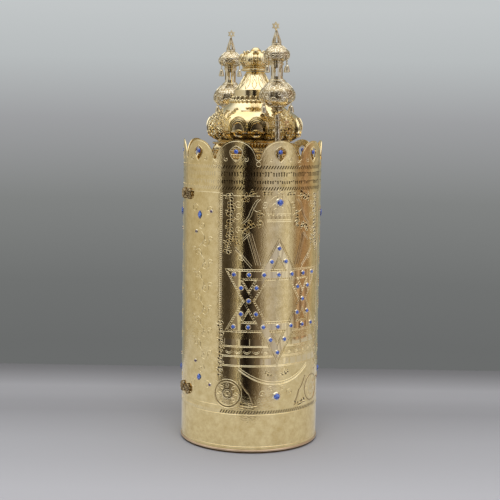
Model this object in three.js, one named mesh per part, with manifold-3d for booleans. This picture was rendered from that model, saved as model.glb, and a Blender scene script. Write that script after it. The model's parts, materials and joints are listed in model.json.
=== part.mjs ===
// Torah case: two half-cylinder shells that open like a book, with a lift-off crown and two belled finials.
// Millimetres, +Z up, origin on the case's axis at its underside. The front half's middle faces -Y,
// the clasps close the seam at -X and the hinges carry the back half at +X.
import * as THREE from "three";
import { mergeVertices } from "three/addons/utils/BufferGeometryUtils.js";
import Module from "manifold-3d";

const wasm = await Module();
wasm.setup();

// Fits and sheet
const touchGap = 0.3; // between pieces that touch
const sheet = 1.6; // wall of the shells
const ringSegments = 28; // facets round the case

// Case
const caseRadius = 140;
const crestTop = 615; // top of the lobes
const lobesPerHalf = 5;
const lobeGap = 2.3; // from a lobe's side to the middle of the notch beside it
const notchDrop = 3.8; // the notch lies this much higher than a full half circle would end
const openingDrop = 12.4; // from the lobe's top to the top of its opening
const openingHeight = 28;
const openingWidth = 22.7;
const openingWidest = 0.41; // share of the height, from the top

// Foot and floors
const footRecess = 1.5; // height of the dark gap under the rim
const rimHeight = 6.5;
const rimOut = 2.5; // how far the rim stands out past the shell
const floorThickness = 14;
const plateTop = 556; // upper face of the top plates
const plateThickness = 3;
const socketHeight = 18;
const socketWall = 2.6;

// Ornament on the shells
const ropeBands = [563.6, 522.8, 87.4]; // heights of the twisted borders
const ropeBandHeight = 6;
const reliefHeight = 0.7;
const starHeight = 304.4; // middle of the six-pointed star
const starRadius = 102.5;
const stonesPerSide = 7;
const smallStone = 4.2;
const settingHeight = 2.6;
const crestStoneSize = 4.4;
const crownStoneHeight = 496;
const lowStoneHeight = 113.7;
const largeStone = 6.6;
const cornerStones = [
  { angle: 69.2, z: 468, wide: 6, tall: 12 },
  { angle: 68.3, z: 143.7, wide: 6, tall: 10 },
];

// Clasps and hinges
const claspHeights = [507, 112];
const hingeHeights = [460, 145];
const claspRadius = 11.5;
const claspThickness = 2;
const claspOffset = 14; // from the seam to the middle of the clasp disc
const leafHeight = 36;
const leafWidth = 14;
const leafThickness = 1;
const knuckleRadius = 2.4;
const pinRadius = 1;
const pinClearance = 0.45;
const pinHeadHeight = 1;
const hingeStandoff = 0.6; // from the rim to the pin's axis

// Crown
const crownWall = 1.6;
const crownShift = 3; // the crown sits a little off the axis, as it was put down
const crownFlange = 97;
const crownSegments = 16;
const coronetLeaves = 8;

// Finials
const finialCircle = 117; // distance of their axes from the seam
const finialSide = 4.5; // and from the middle of their half, to the right as seen from outside
const finialLean = 1.8; // degrees, the front one leans towards the clasps
const stemRadius = 8.6;
const stemClearance = 1.2; // loose in its socket, which lets a finial lean
const neckWall = 1.6;
const neckWindows = 4;
const finialSegments = 8;
const bellRadius = 6;
const bellHeight = 12.5;
const bellWall = 0.9;
const bellsPerBulb = 4;
const firstBellTurn = -23;
const chainThickness = 1.2;
const innerBell = 2; // this bell of a lower bulb hangs over the crown's shoulder
const innerBellRise = 6; // and rests higher there than the others hang

const sectorDegrees = 180 / lobesPerHalf;
const sectorHalfWidth = caseRadius * Math.sin(THREE.MathUtils.degToRad(sectorDegrees / 2));
const lobeRadius = sectorHalfWidth - lobeGap;
const valleyDepth = lobeRadius - notchDrop; // from the lobe's top to the notch between two lobes
const shellOuter = caseRadius;
const shellInner = caseRadius - sheet;
const shellBottom = footRecess + rimHeight + touchGap;
const rimOuter = shellOuter + rimOut;
const hingeX = rimOuter + hingeStandoff;
const claspOuter = hingeX + knuckleRadius; // the clasp discs stand out as far as the hinges
const finialBase = plateTop + touchGap;

const materials = {
  gold: { color: 0xc9b27c, roughness: 0.32, metalness: 1 },
  crownGold: { color: 0xcfae62, roughness: 0.24, metalness: 1 },
  paleGold: { color: 0xc4b79a, roughness: 0.3, metalness: 1 },
  rimMetal: { color: 0xcbb093, roughness: 0.45, metalness: 0.8 },
  bronze: { color: 0x6f5a33, roughness: 0.4, metalness: 1 },
  stone: { color: 0x3b5fd0, roughness: 0.08, metalness: 0 },
};

// Turns a closed geometry into a solid with its faces out.
function solidOf(geometry) {
  const bare = geometry.clone();
  bare.deleteAttribute("normal");
  bare.deleteAttribute("uv");
  const merged = mergeVertices(bare, 1e-4);
  const index = merged.index.array;
  const kept = [];
  for (let i = 0; i < index.length; i += 3) {
    const [a, b, c] = [index[i], index[i + 1], index[i + 2]];
    if (a !== b && b !== c && c !== a) kept.push(a, b, c);
  }
  const build = (triVerts) => new wasm.Manifold(
    new wasm.Mesh({ numProp: 3, vertProperties: merged.attributes.position.array, triVerts }),
  );
  const solid = build(new Uint32Array(kept));
  if (solid.volume() > 0) return solid;
  return build(new Uint32Array(kept.reverse()));
}

function geometryOf(solid) {
  const mesh = solid.getMesh();
  const geometry = new THREE.BufferGeometry();
  const positions = new Float32Array(mesh.numVert * 3);
  for (let i = 0; i < mesh.numVert; i++) {
    const at = i * mesh.numProp;
    positions.set(mesh.vertProperties.subarray(at, at + 3), i * 3);
  }
  geometry.setAttribute("position", new THREE.BufferAttribute(positions, 3));
  geometry.setIndex(new THREE.BufferAttribute(new Uint32Array(mesh.triVerts), 1));
  geometry.computeVertexNormals();
  return geometry;
}

const joined = (solids) => solids.reduce((all, solid) => all.add(solid));

// Turns a profile of [radius, height] points about Z.
function turned(profile, segments) {
  const points = profile.map(([radius, height]) => new THREE.Vector2(radius, height));
  return solidOf(new THREE.LatheGeometry(points, segments).rotateX(Math.PI / 2));
}

// A ring with the closed section given as [radius, height] points.
const ringOf = (section, segments) => turned([...section, section[0]], segments);

// Extrudes an outline of [x, z] points along -Y, from one depth to the other, then turns it about Z.
function prism(outline, near, far, degrees = 0, holes = []) {
  const shape = new THREE.Shape(outline.map(([x, z]) => new THREE.Vector2(x, z)));
  for (const hole of holes) {
    shape.holes.push(new THREE.Path(hole.map(([x, z]) => new THREE.Vector2(x, z))));
  }
  const geometry = new THREE.ExtrudeGeometry(shape, { depth: far - near, bevelEnabled: false });
  geometry.translate(0, 0, near).rotateX(Math.PI / 2);
  return solidOf(geometry.rotateZ(THREE.MathUtils.degToRad(degrees)));
}

function block(x0, x1, y0, y1, z0, z1) {
  const geometry = new THREE.BoxGeometry(x1 - x0, y1 - y0, z1 - z0);
  return solidOf(geometry.translate((x0 + x1) / 2, (y0 + y1) / 2, (z0 + z1) / 2));
}

function rod(radius, z0, z1, x = 0, y = 0, sides = 8) {
  const geometry = new THREE.CylinderGeometry(radius, radius, z1 - z0, sides);
  return solidOf(geometry.rotateX(Math.PI / 2).translate(x, y, (z0 + z1) / 2));
}

// The half of space in front of the seam, short of it by half the gap.
const frontSpace = () => block(-400, 400, -400, -touchGap / 2, -50, 1200);

// Crest: one lobe's edge in the flat of its own sector, from left notch to right notch.
const sectorOverlap = 0.4; // each cut runs this far past its sector

function crestEdge() {
  const notch = crestTop - valleyDepth;
  const centre = crestTop - lobeRadius;
  const points = [];
  for (let degrees = -80; degrees <= 80; degrees += 20) {
    const turn = THREE.MathUtils.degToRad(degrees);
    points.push([lobeRadius * Math.sin(turn), centre + lobeRadius * Math.cos(turn)]);
  }
  const foot = (sectorHalfWidth + points.at(-1)[0]) / 2;
  const reach = sectorHalfWidth + sectorOverlap;
  const shoulder = notch + 0.6;
  points.unshift([-reach, notch], [-foot, shoulder]);
  points.push([foot, shoulder], [reach, notch]);
  return points;
}

// A drop-shaped opening, pointed at both ends and widest above its middle.
function openingOutline() {
  const top = crestTop - openingDrop;
  const widest = top - openingHeight * openingWidest;
  const bottom = top - openingHeight;
  const steps = 3;
  const side = [];
  for (let i = 0; i < steps; i++) {
    const share = 1 - i / steps;
    side.push([openingWidth / 2 * (1 - share ** 2.4), widest + (top - widest) * share]);
  }
  for (let i = 0; i <= steps; i++) {
    const share = i / steps;
    side.push([openingWidth / 2 * (1 - share ** 1.8), widest - (widest - bottom) * share]);
  }
  return [...side, ...side.slice(1, -1).reverse().map(([x, z]) => [-x, z])];
}

const lobeAngles = Array.from(
  { length: lobesPerHalf },
  (_, i) => (i - (lobesPerHalf - 1) / 2) * sectorDegrees,
);

// Two triangles, each a list of three corners on the flat drawing.
const starTriangles = [90, 270].map((start) => [0, 120, 240].map((turn) => {
  const angle = THREE.MathUtils.degToRad(start + turn);
  return [starRadius * Math.cos(angle), starHeight + starRadius * Math.sin(angle)];
}));

const starSides = starTriangles.flatMap((corners) =>
  corners.map((corner, i) => [corner, corners[(i + 1) % 3]]));

// The stones of the star, each place once although two sides share it where they cross.
function starStonePlaces() {
  const places = new Map();
  for (const [from, to] of starSides) {
    for (let i = 0; i < stonesPerSide - 1; i++) {
      const share = i / (stonesPerSide - 1);
      const place = [from[0] + (to[0] - from[0]) * share, from[1] + (to[1] - from[1]) * share];
      places.set(place.map((value) => Math.round(value)).join(), place);
    }
  }
  return [...places.values()];
}

// A raised setting, tapered, standing on the shell at an angle and height.
function setting(degrees, z, wide, tall, sides) {
  const geometry = new THREE.CylinderGeometry(0.62, 1, settingHeight + 1, sides);
  geometry.rotateY(Math.PI / sides).scale(wide, 1, tall).rotateX(Math.PI);
  geometry.translate(0, -(shellOuter - 1 + (settingHeight + 1) / 2), z);
  return solidOf(geometry.rotateZ(THREE.MathUtils.degToRad(degrees)));
}

// Front half shell: wall, crest, openings, relief and settings.
function shellSolid() {
  const section = [[shellInner, shellBottom], [shellOuter, shellBottom]];
  for (const band of [...ropeBands].reverse()) {
    section.push([shellOuter, band - ropeBandHeight / 2], [shellOuter + reliefHeight, band]);
    section.push([shellOuter, band + ropeBandHeight / 2]);
  }
  section.push([shellOuter, crestTop], [shellInner, crestTop]);
  let shell = ringOf(section, ringSegments);

  const reach = sectorHalfWidth + sectorOverlap;
  const above = [[reach, crestTop + 5], [-reach, crestTop + 5]];
  const cutDepths = [caseRadius / 2, caseRadius + 20];
  for (const angle of lobeAngles) {
    shell = shell.subtract(prism([...crestEdge(), ...above], ...cutDepths, angle));
    shell = shell.subtract(prism(openingOutline(), ...cutDepths, angle));
  }

  const settings = starStonePlaces().map(([arc, z]) =>
    setting(THREE.MathUtils.radToDeg(arc / shellOuter), z, smallStone, smallStone, 4));
  for (const { angle, z, wide, tall } of cornerStones) {
    for (const sign of [-1, 1]) {
      settings.push(setting(sign * angle, z, wide, tall, 6));
    }
  }
  return shell.intersect(frontSpace()).add(joined(settings));
}

// Floor half: a disc inside the shell, on which the case stands.
function floorSolid() {
  const radius = shellInner - touchGap;
  const disc = turned([[0, 0], [radius, 0], [radius, floorThickness], [0, floorThickness]], ringSegments);
  return disc.intersect(frontSpace());
}

// Rounded rim half, round the floor and under the shell's edge.
function rimSolid() {
  const inner = shellInner;
  const middle = footRecess + rimHeight / 2;
  const section = [[inner, footRecess]];
  for (let degrees = -90; degrees <= 90; degrees += 60) {
    const turn = THREE.MathUtils.degToRad(degrees);
    section.push([
      rimOuter - rimHeight / 2 + rimHeight / 2 * Math.cos(turn),
      middle + rimHeight / 2 * Math.sin(turn),
    ]);
  }
  section.push([inner, footRecess + rimHeight]);
  return ringOf(section, ringSegments).intersect(frontSpace());
}

// Top plate half with the socket that takes its finial's stem.
function topPlateSolid() {
  const radius = shellInner - touchGap;
  const low = plateTop - plateThickness;
  const bore = stemRadius + stemClearance;
  const disc = turned([[0, low], [radius, low], [radius, plateTop], [0, plateTop]], ringSegments);
  const socket = ringOf([
    [bore, plateTop - 1], [bore + socketWall, plateTop - 1],
    [bore + socketWall, plateTop + socketHeight], [bore, plateTop + socketHeight],
  ], finialSegments).translate([finialSide, -finialCircle, 0]);
  return disc.intersect(frontSpace()).add(socket);
}

// A faceted stone on the shell, its back flat.
function largeStoneSolid(z) {
  const gem = turned([[0, 0], [1, 0], [1, 0.25], [0.62, 0.62], [0, 0.62]]
    .map(([radius, height]) => [radius * largeStone, height * largeStone]), 8);
  return gem.rotate([90, 0, 0]).translate([0, -(shellOuter + touchGap), z]);
}

// A stone that hangs from a short wire in the opening of a lobe.
function crestStoneSolid(angle) {
  const size = crestStoneSize;
  const wallMiddle = (shellOuter + shellInner) / 2;
  const openingTop = crestTop - openingDrop;
  const stoneZ = openingTop - openingHeight * 0.36;
  const gem = turned([[0, -0.6], [1, 0], [0.6, 0.5], [0, 0.5]]
    .map(([radius, height]) => [radius * size, height * size]), 5);
  const wire = block(-0.6, 0.6, -wallMiddle - 0.6, -wallMiddle + 0.6, stoneZ + size * 0.6, openingTop - 2);
  return gem.rotate([90, 0, 0]).translate([0, -wallMiddle, stoneZ]).add(wire).rotate([0, 0, angle]);
}

// Openwork clasp disc, a star in a ring, on a short post.
function claspSolid(z) {
  const ringWidth = 1.9;
  const inner = claspRadius - ringWidth;
  const corner = (radius, degrees) => {
    const turn = THREE.MathUtils.degToRad(degrees);
    return [radius * Math.cos(turn), z + radius * Math.sin(turn)];
  };
  const outline = Array.from({ length: 12 }, (_, i) => corner(claspRadius, i * 30));
  const holes = [];
  for (let i = 0; i < 6; i++) {
    const at = 30 + i * 60;
    holes.push([corner(inner, at + 14), corner(inner, at + 46), corner(inner * 0.62, at + 30)]);
  }
  holes.push(Array.from({ length: 3 }, (_, i) => corner(inner * 0.38, i * 120)));
  const disc = prism(outline, claspOuter - claspThickness, claspOuter, 0, holes);
  const postReach = [shellOuter + touchGap, claspOuter - claspThickness + 0.5];
  const foot = z - claspRadius + 1;
  const post = prism([[-1.5, foot - 1], [1.5, foot - 1], [1.5, foot + 1], [-1.5, foot + 1]], ...postReach);
  return disc.add(post);
}

// Hinge leaf at +X. The front one has the outer knuckles, the back one the middle knuckle.
function hingeLeafSolid(z, isFront) {
  const side = isFront ? -1 : 1;
  const [low, high] = [z - leafHeight / 2, z + leafHeight / 2];
  const third = leafHeight / 3;
  const near = knuckleRadius;
  const plateIn = shellOuter + touchGap;
  const plateOut = plateIn + leafThickness;
  const spans = isFront
    ? [[low, low + third - touchGap / 2], [high - third + touchGap / 2, high]]
    : [[low + third + touchGap / 2, high - third - touchGap / 2]];
  const span = (a, b) => (a < b ? [a, b] : [b, a]);
  let leaf = block(plateIn, plateOut, ...span(side * near, side * (near + leafWidth)), low, high);
  for (const [from, to] of spans) {
    leaf = leaf.add(block(plateIn, plateOut, ...span(side * touchGap, side * (near + 1)), from, to));
    leaf = leaf.add(rod(knuckleRadius, from, to, hingeX));
  }
  return leaf.subtract(rod(pinRadius + pinClearance, low - 1, high + 1, hingeX));
}

function hingePinSolid(z) {
  const [low, high] = [z - leafHeight / 2 - touchGap, z + leafHeight / 2 + touchGap];
  const head = knuckleRadius - 0.5;
  return turned([
    [0, low - pinHeadHeight], [head, low - pinHeadHeight], [head, low], [pinRadius, low],
    [pinRadius, high], [head, high], [head, high + pinHeadHeight], [0, high + pinHeadHeight],
  ], 8).translate([hingeX, 0, 0]);
}

// Points of a smooth curve through the given [radius, height] points.
function smooth(points, count) {
  const curve = new THREE.SplineCurve(points.map(([radius, height]) => new THREE.Vector2(radius, height)));
  return curve.getPoints(count).map((point) => [point.x, point.y]);
}

// The same curve moved inwards by the wall.
function inside(points, wall) {
  return points.map(([radius, height], i) => {
    const [before, after] = [points[Math.max(i - 1, 0)], points[Math.min(i + 1, points.length - 1)]];
    const length = Math.hypot(after[0] - before[0], after[1] - before[1]);
    return [radius - (after[1] - before[1]) / length * wall, height + (after[0] - before[0]) / length * wall];
  });
}

// Crown: a stepped drum, a wide bulb and a flared neck, hollow and open below. Heights from the plate.
const crownBulb = [[73, 54], [82.5, 59.5], [92.5, 68], [96, 80], [95.5, 92], [90.5, 102], [78.5, 112],
  [63, 122], [50.5, 132]];
const bulbPoints = smooth(crownBulb, 8);
const collarRadius = 43;
const collarLow = 146;
const collarTop = 157;
const neckTop = 194;

function crownSolid() {
  const drum = [[crownFlange, 0], [crownFlange, 3], [91.5, 12], [89, 22], [86, 24], [86.5, 31], [82.5, 34],
    [80.5, 40], [75.5, 48], [72.5, 51]];
  const bulb = bulbPoints;
  const top = [[46.5, 139], [42, 144.5], [collarRadius, collarLow], [collarRadius, collarTop],
    [40.5, collarTop], [31, 171], [23, 184], [19, neckTop]];
  const innerBulb = inside(smooth(crownBulb, 5), crownWall + 1.5).reverse();
  const innerTop = [[0, neckTop - 3], [18, neckTop - 3], [20.9, 184], [28.8, 170.5],
    [39.4, collarTop - crownWall], [collarRadius - crownWall, collarTop - crownWall],
    [collarRadius - crownWall - 1.2, collarLow - 2]];
  const seat = crownFlange - 4;
  const innerDrum = [[crownFlange - 26.5, 50], [crownFlange - 10.8, 22], [seat, 3], [seat, 0]];
  const profile = [[0, neckTop], ...[...top].reverse(), ...[...bulb].reverse(), ...[...drum].reverse(),
    ...[...innerDrum].reverse(), ...[...innerBulb].reverse(), ...[...innerTop].reverse()];
  return turned(profile.map(([radius, height]) => [radius, height + finialBase]), crownSegments);
}

// Coronet on the crown's neck: a circlet with upright leaves round a low cap.
function coronetSolid() {
  const base = finialBase + neckTop + touchGap;
  const body = turned([[0, 0], [28, 1], [28, 6], [24, 7.5], [33, 19], [27, 22], [18, 33], [10, 44], [0, 48.5]]
    .map(([radius, height]) => [radius, height + base]), 10);
  const leaf = [[-6, 18], [-10, 29], [0, 37], [10, 29], [6, 18]]
    .map(([x, z]) => [x, z + base]);
  const leaves = Array.from({ length: coronetLeaves }, (_, i) =>
    prism(leaf, 30.5, 33.5, (i + 0.5) * 360 / coronetLeaves));
  return joined([body, ...leaves]);
}

// Small lock plate with a keyhole, flat on one facet of the crown's shoulder.
const lockPlateSize = { width: 27, height: 10.5, thickness: 1.4 };
const lockPlateRow = 6; // the stretch of the bulb's profile that carries it
const lockPlateFacet = 1.5; // facets from the front's middle towards the clasps

function crownPlateSolid() {
  const { width, height, thickness } = lockPlateSize;
  const half = height / 2;
  const round = Array.from({ length: 7 }, (_, i) => {
    const turn = THREE.MathUtils.degToRad(-90 + i * 30);
    return [width / 2 - half + half * Math.cos(turn), half * Math.sin(turn)];
  });
  const outline = [[-width / 2, half], [-width / 2, -half], ...round];
  const keyhole = Array.from({ length: 6 }, (_, i) => {
    const turn = i * Math.PI / 3;
    return [6 + 1.8 * Math.cos(turn), 1.8 * Math.sin(turn)];
  });
  const plate = prism(outline, touchGap, touchGap + thickness, 0, [keyhole]);

  const flat = Math.cos(Math.PI / crownSegments); // from a corner's radius to a facet's
  const [below, above] = [bulbPoints[lockPlateRow], bulbPoints[lockPlateRow + 1]];
  const radius = (below[0] + above[0]) / 2 * flat;
  const slope = Math.atan2((below[0] - above[0]) * flat, above[1] - below[1]);
  return plate.rotate([-THREE.MathUtils.radToDeg(slope), 0, 0])
    .translate([0, -radius, finialBase + (below[1] + above[1]) / 2])
    .rotate([0, 0, -lockPlateFacet * 360 / crownSegments]);
}

// Finial: stem, two bulbs, a windowed neck and a spire. Heights from its foot on the plate.
const bulbs = [{ z: 145.5, radius: 35.5, drop: 20.5 }, { z: 219.5, radius: 25.5, drop: 17.7 }];
const neckLow = 175.5;
const neckHigh = 202;
const spireFoot = 241.5;
const spireTop = 267;

function finialSolid() {
  const stem = [[0, 0], [stemRadius, 0], [stemRadius, 40], [4.8, 94], [4.8, 106], [12, 115], [12, 118.5],
    [10, 120], [17, 123.5]];
  const lower = smooth([[18, 125], [28.5, 131], [34.3, 138], [bulbs[0].radius, bulbs[0].z],
    [33, 154], [26, 163], [17.5, 171]], 6);
  const neck = [[14, neckLow], [12, neckLow + 1], [11.5, neckHigh - 1], [13.8, neckHigh], [13.8, 206]];
  const upper = smooth([[13, 209.5], [21.5, 212.6], [bulbs[1].radius, bulbs[1].z], [24, 227.5],
    [15.5, 236], [9.5, 240.5]], 6);
  const spire = [[9.2, spireFoot], [7.2, 252], [3.4, spireTop], [0, spireTop + 1]];
  const inner = 11.5 - neckWall;
  let finial = turned([...stem, ...lower, ...neck, ...upper, ...spire], finialSegments);

  // The neck is a tube with arched windows all round, which open its hollow.
  const hollow = rod(inner, neckLow + 3, neckHigh - 3);
  const [sill, spring] = [neckLow + 4.5, neckHigh - 8];
  const window = [[-3.2, sill], [3.2, sill], [3.2, spring], [0, spring + 3.4], [-3.2, spring]];
  finial = finial.subtract(hollow);
  for (let i = 0; i < neckWindows / 2; i++) {
    finial = finial.subtract(prism(window, -30, 30, i * 360 / neckWindows));
  }

  // Six-pointed star with a ring in its middle, facing outwards.
  const starZ = spireTop + 9.4;
  const points = Array.from({ length: 12 }, (_, i) => {
    const radius = i % 2 ? 4.9 : 8.6;
    const turn = THREE.MathUtils.degToRad(90 + i * 30);
    return [radius * Math.cos(turn), starZ + radius * Math.sin(turn)];
  });
  const eye = Array.from({ length: 6 }, (_, i) => {
    const turn = i * Math.PI / 3;
    return [2 * Math.cos(turn), starZ + 2 * Math.sin(turn)];
  });
  return finial.add(prism(points, -1.1, 1.1, 0, [eye]));
}

// A bell on its chain, beside the bulb that it hangs from.
function bellSolid(bulb, degrees, rise) {
  const reach = bulb.radius + touchGap + chainThickness / 2 + 0.2;
  const top = bulb.z - bulb.drop + rise;
  const [outer, mouth] = [bellRadius, top - bellHeight];
  const bell = turned([[0, top], [3.4, top - 3], [4, top - 8], [outer, mouth], [outer - bellWall, mouth],
    [0, top - 4]], 5);
  const half = chainThickness / 2;
  const chain = block(-half, half, -half, half, top - 1, bulb.z);
  return bell.add(chain).translate([0, -reach, 0]).rotate([0, 0, degrees]);
}

const part = new THREE.Group();

function addPiece(parent, name, look, solid) {
  const mesh = new THREE.Mesh(geometryOf(solid), new THREE.MeshStandardMaterial(materials[look]));
  mesh.name = name;
  parent.add(mesh);
  return mesh;
}

// Each half is the same set of pieces, the back one turned half a turn about the case's axis.
function addHalf(name, turn) {
  const half = new THREE.Group();
  half.rotation.z = turn;
  part.add(half);
  addPiece(half, name + "_shell", "gold", shellSolid());
  addPiece(half, name + "_floor", "gold", floorSolid());
  addPiece(half, name + "_foot_rim", "rimMetal", rimSolid());
  addPiece(half, name + "_top_plate", "gold", topPlateSolid());
  addPiece(half, name + "_crown_stone", "stone", largeStoneSolid(crownStoneHeight));
  addPiece(half, name + "_low_stone", "stone", largeStoneSolid(lowStoneHeight));
  lobeAngles.forEach((angle, i) => {
    addPiece(half, name + "_crest_stone_" + (i + 1), "stone", crestStoneSolid(angle));
  });
}
addHalf("front", 0);
addHalf("back", Math.PI);

// Clasp discs, one on each side of the seam at -X, and the hinges at +X.
const claspDegrees = THREE.MathUtils.radToDeg(claspOffset / shellOuter);
["upper", "lower"].forEach((level, i) => {
  for (const [half, degrees] of [["front", -90 + claspDegrees], ["back", -90 - claspDegrees]]) {
    const clasp = claspSolid(claspHeights[i]).rotate([0, 0, degrees]);
    const leaf = hingeLeafSolid(hingeHeights[i], half === "front");
    addPiece(part, half + "_" + level + "_clasp", "bronze", clasp);
    addPiece(part, half + "_" + level + "_hinge_leaf", "gold", leaf);
  }
  addPiece(part, level + "_hinge_pin", "gold", hingePinSolid(hingeHeights[i]));
});

// Crown with its coronet and plate, set down a little off the axis.
const crown = new THREE.Group();
crown.position.set(crownShift * Math.cos(Math.PI / 8), -crownShift * Math.sin(Math.PI / 8), 0);
part.add(crown);
addPiece(crown, "crown", "crownGold", crownSolid());
addPiece(crown, "crown_coronet", "crownGold", coronetSolid());
addPiece(crown, "crown_lock_plate", "crownGold", crownPlateSolid());

// Finials on the middle of each half, with their bells.
function addFinial(name, turn, lean) {
  const half = new THREE.Group();
  half.rotation.z = turn;
  part.add(half);
  const finial = new THREE.Group();
  const tilt = THREE.MathUtils.degToRad(lean);
  finial.position.set(finialSide, -finialCircle, finialBase + stemRadius * Math.sin(tilt));
  finial.rotation.y = -tilt;
  half.add(finial);
  addPiece(finial, name + "_finial", "paleGold", finialSolid());
  bulbs.forEach((bulb, level) => {
    for (let i = 0; i < bellsPerBulb; i++) {
      const bellName = name + "_" + ["lower", "upper"][level] + "_bell_" + (i + 1);
      const rise = level === 0 && i === innerBell ? innerBellRise : 0;
      const degrees = (i + 0.5) * 360 / bellsPerBulb + firstBellTurn;
      addPiece(finial, bellName, "paleGold", bellSolid(bulb, degrees, rise));
    }
  });
}
addFinial("front", 0, finialLean);
addFinial("back", Math.PI, 0);

export default part;
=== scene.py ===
# Torah case: gilt sheet cylinder in two halves, crown, two belled finials. Metres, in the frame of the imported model.
import json
import math
import random

import bmesh
import bpy
import numpy as np
from mathutils import Matrix, Vector

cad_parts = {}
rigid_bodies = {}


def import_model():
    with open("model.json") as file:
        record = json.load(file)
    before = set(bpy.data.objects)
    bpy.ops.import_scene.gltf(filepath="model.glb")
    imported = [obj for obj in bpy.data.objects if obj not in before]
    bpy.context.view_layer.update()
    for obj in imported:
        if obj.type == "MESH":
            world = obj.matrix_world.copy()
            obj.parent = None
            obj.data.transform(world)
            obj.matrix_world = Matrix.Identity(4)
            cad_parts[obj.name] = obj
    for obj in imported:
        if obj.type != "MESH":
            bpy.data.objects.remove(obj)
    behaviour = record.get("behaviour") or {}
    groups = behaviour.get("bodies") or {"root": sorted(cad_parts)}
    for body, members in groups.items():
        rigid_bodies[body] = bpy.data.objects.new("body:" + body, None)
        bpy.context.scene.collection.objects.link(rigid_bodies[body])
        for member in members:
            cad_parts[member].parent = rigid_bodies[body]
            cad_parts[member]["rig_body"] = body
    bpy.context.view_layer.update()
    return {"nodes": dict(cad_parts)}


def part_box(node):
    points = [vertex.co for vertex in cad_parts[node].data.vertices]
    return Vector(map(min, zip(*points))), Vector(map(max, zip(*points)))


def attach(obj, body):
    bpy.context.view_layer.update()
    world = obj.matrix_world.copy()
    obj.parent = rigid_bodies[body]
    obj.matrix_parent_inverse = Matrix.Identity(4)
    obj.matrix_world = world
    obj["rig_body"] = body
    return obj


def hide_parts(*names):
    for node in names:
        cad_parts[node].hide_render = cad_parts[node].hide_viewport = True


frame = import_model()
nodes = frame["nodes"]
rng = random.Random(7)
print("frame loaded:", len(nodes), "nodes")

# Places read from the frame
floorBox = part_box("front_floor")
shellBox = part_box("front_shell")
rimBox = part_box("front_foot_rim")
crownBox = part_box("crown")
sheetWall = 0.0016
seamGap = 0.00015  # half the gap between the two halves
caseRadius = floorBox[1].x + 0.0003 + sheetWall
halfArc = math.pi * caseRadius / 2
crownCentre = (crownBox[0] + crownBox[1]) / 2


# Mesh helpers
def objectFrom(name, data, materials=()):
    for material in materials:
        data.materials.append(material)
    piece = bpy.data.objects.new(name, data)
    bpy.context.scene.collection.objects.link(piece)
    return piece


def setSmooth(mesh):
    mesh.polygons.foreach_set("use_smooth", [True] * len(mesh.polygons))


def meshFrom(bm, name, sharpAngle=35):
    bmesh.ops.remove_doubles(bm, verts=bm.verts, dist=1e-6)
    mesh = bpy.data.meshes.new(name)
    bm.to_mesh(mesh)
    bm.free()
    setSmooth(mesh)
    mesh.set_sharp_from_angle(angle=math.radians(sharpAngle))
    return mesh


def moveVerts(mesh, move):
    # points go through move as one array
    points = np.empty(len(mesh.vertices) * 3, np.float32)
    mesh.vertices.foreach_get("co", points)
    moved = move(points.reshape(-1, 3).astype(float))
    mesh.vertices.foreach_set("co", np.asarray(moved, np.float32).ravel())
    mesh.update()
    return mesh


def painted(mesh, look):
    mesh.polygons.foreach_set("material_index", [look] * len(mesh.polygons))
    return mesh


def joinMeshes(name, meshes):
    bm = bmesh.new()
    for mesh in meshes:
        bm.from_mesh(mesh)
    joined = bpy.data.meshes.new(name)
    bm.to_mesh(joined)
    bm.free()
    return joined


def bakeModifiers(piece):
    depsgraph = bpy.context.evaluated_depsgraph_get()
    baked = bpy.data.meshes.new_from_object(piece.evaluated_get(depsgraph))
    bpy.data.objects.remove(piece)
    baked.set_sharp_from_angle(angle=math.radians(38))
    return baked


def thickened(mesh, thickness):
    # the sheet grows inwards
    piece = objectFrom("sheet", mesh)
    wall = piece.modifiers.new("wall", "SOLIDIFY")
    wall.thickness = thickness
    wall.offset = -1
    return bakeModifiers(piece)


def cutAcross(bm, places, axis=0, dist=1e-7, **clear):
    # cuts through a flat mesh, so that it can bend
    normal = [0, 0, 0]
    normal[axis] = 1
    for place in places:
        geom = bm.verts[:] + bm.edges[:] + bm.faces[:]
        bmesh.ops.bisect_plane(bm, geom=geom, dist=dist, plane_co=[place * part for part in normal],
                               plane_no=normal, **clear)


def tubeMesh(paths, radius, rounds=0):
    # tubes along paths of x, y, z points
    curve = bpy.data.curves.new("tubes", "CURVE")
    curve.dimensions = "3D"
    curve.bevel_depth = radius
    curve.bevel_resolution = rounds
    curve.use_fill_caps = True
    for path in paths:
        spline = curve.splines.new("POLY")
        spline.points.add(len(path) - 1)
        spline.points.foreach_set("co", [value for point in path for value in (*point, 1)])
    mesh = bakeModifiers(objectFrom("tubes", curve))
    bpy.data.curves.remove(curve)
    setSmooth(mesh)
    return mesh


# Materials
def feed(tree, node, **values):
    # each value is a setting of the node, a number for an input, or an output to link to it
    for key, value in values.items():
        if hasattr(node, key):
            setattr(node, key, value)
        elif isinstance(value, bpy.types.NodeSocket):
            tree.links.new(value, node.inputs[key.replace("_", " ")])
        else:
            node.inputs[key.replace("_", " ")].default_value = value
    return node


def addNode(tree, kind, **values):
    return feed(tree, tree.nodes.new("ShaderNode" + kind), **values)


def newMaterial(name):
    material = bpy.data.materials.new(name)
    material.use_nodes = True
    tree = material.node_tree
    return material, tree, tree.nodes["Principled BSDF"], addNode(tree, "TexCoord").outputs["Object"]


def noiseOn(tree, coords, scale, detail=3.0, stretch=(1, 1, 1), coarse=0.5):
    mapping = addNode(tree, "Mapping", Vector=coords, Scale=stretch)
    noise = addNode(tree, "TexNoise", Vector=mapping.outputs["Vector"], Scale=scale, Detail=detail, Roughness=coarse)
    return noise.outputs["Fac"]


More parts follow.
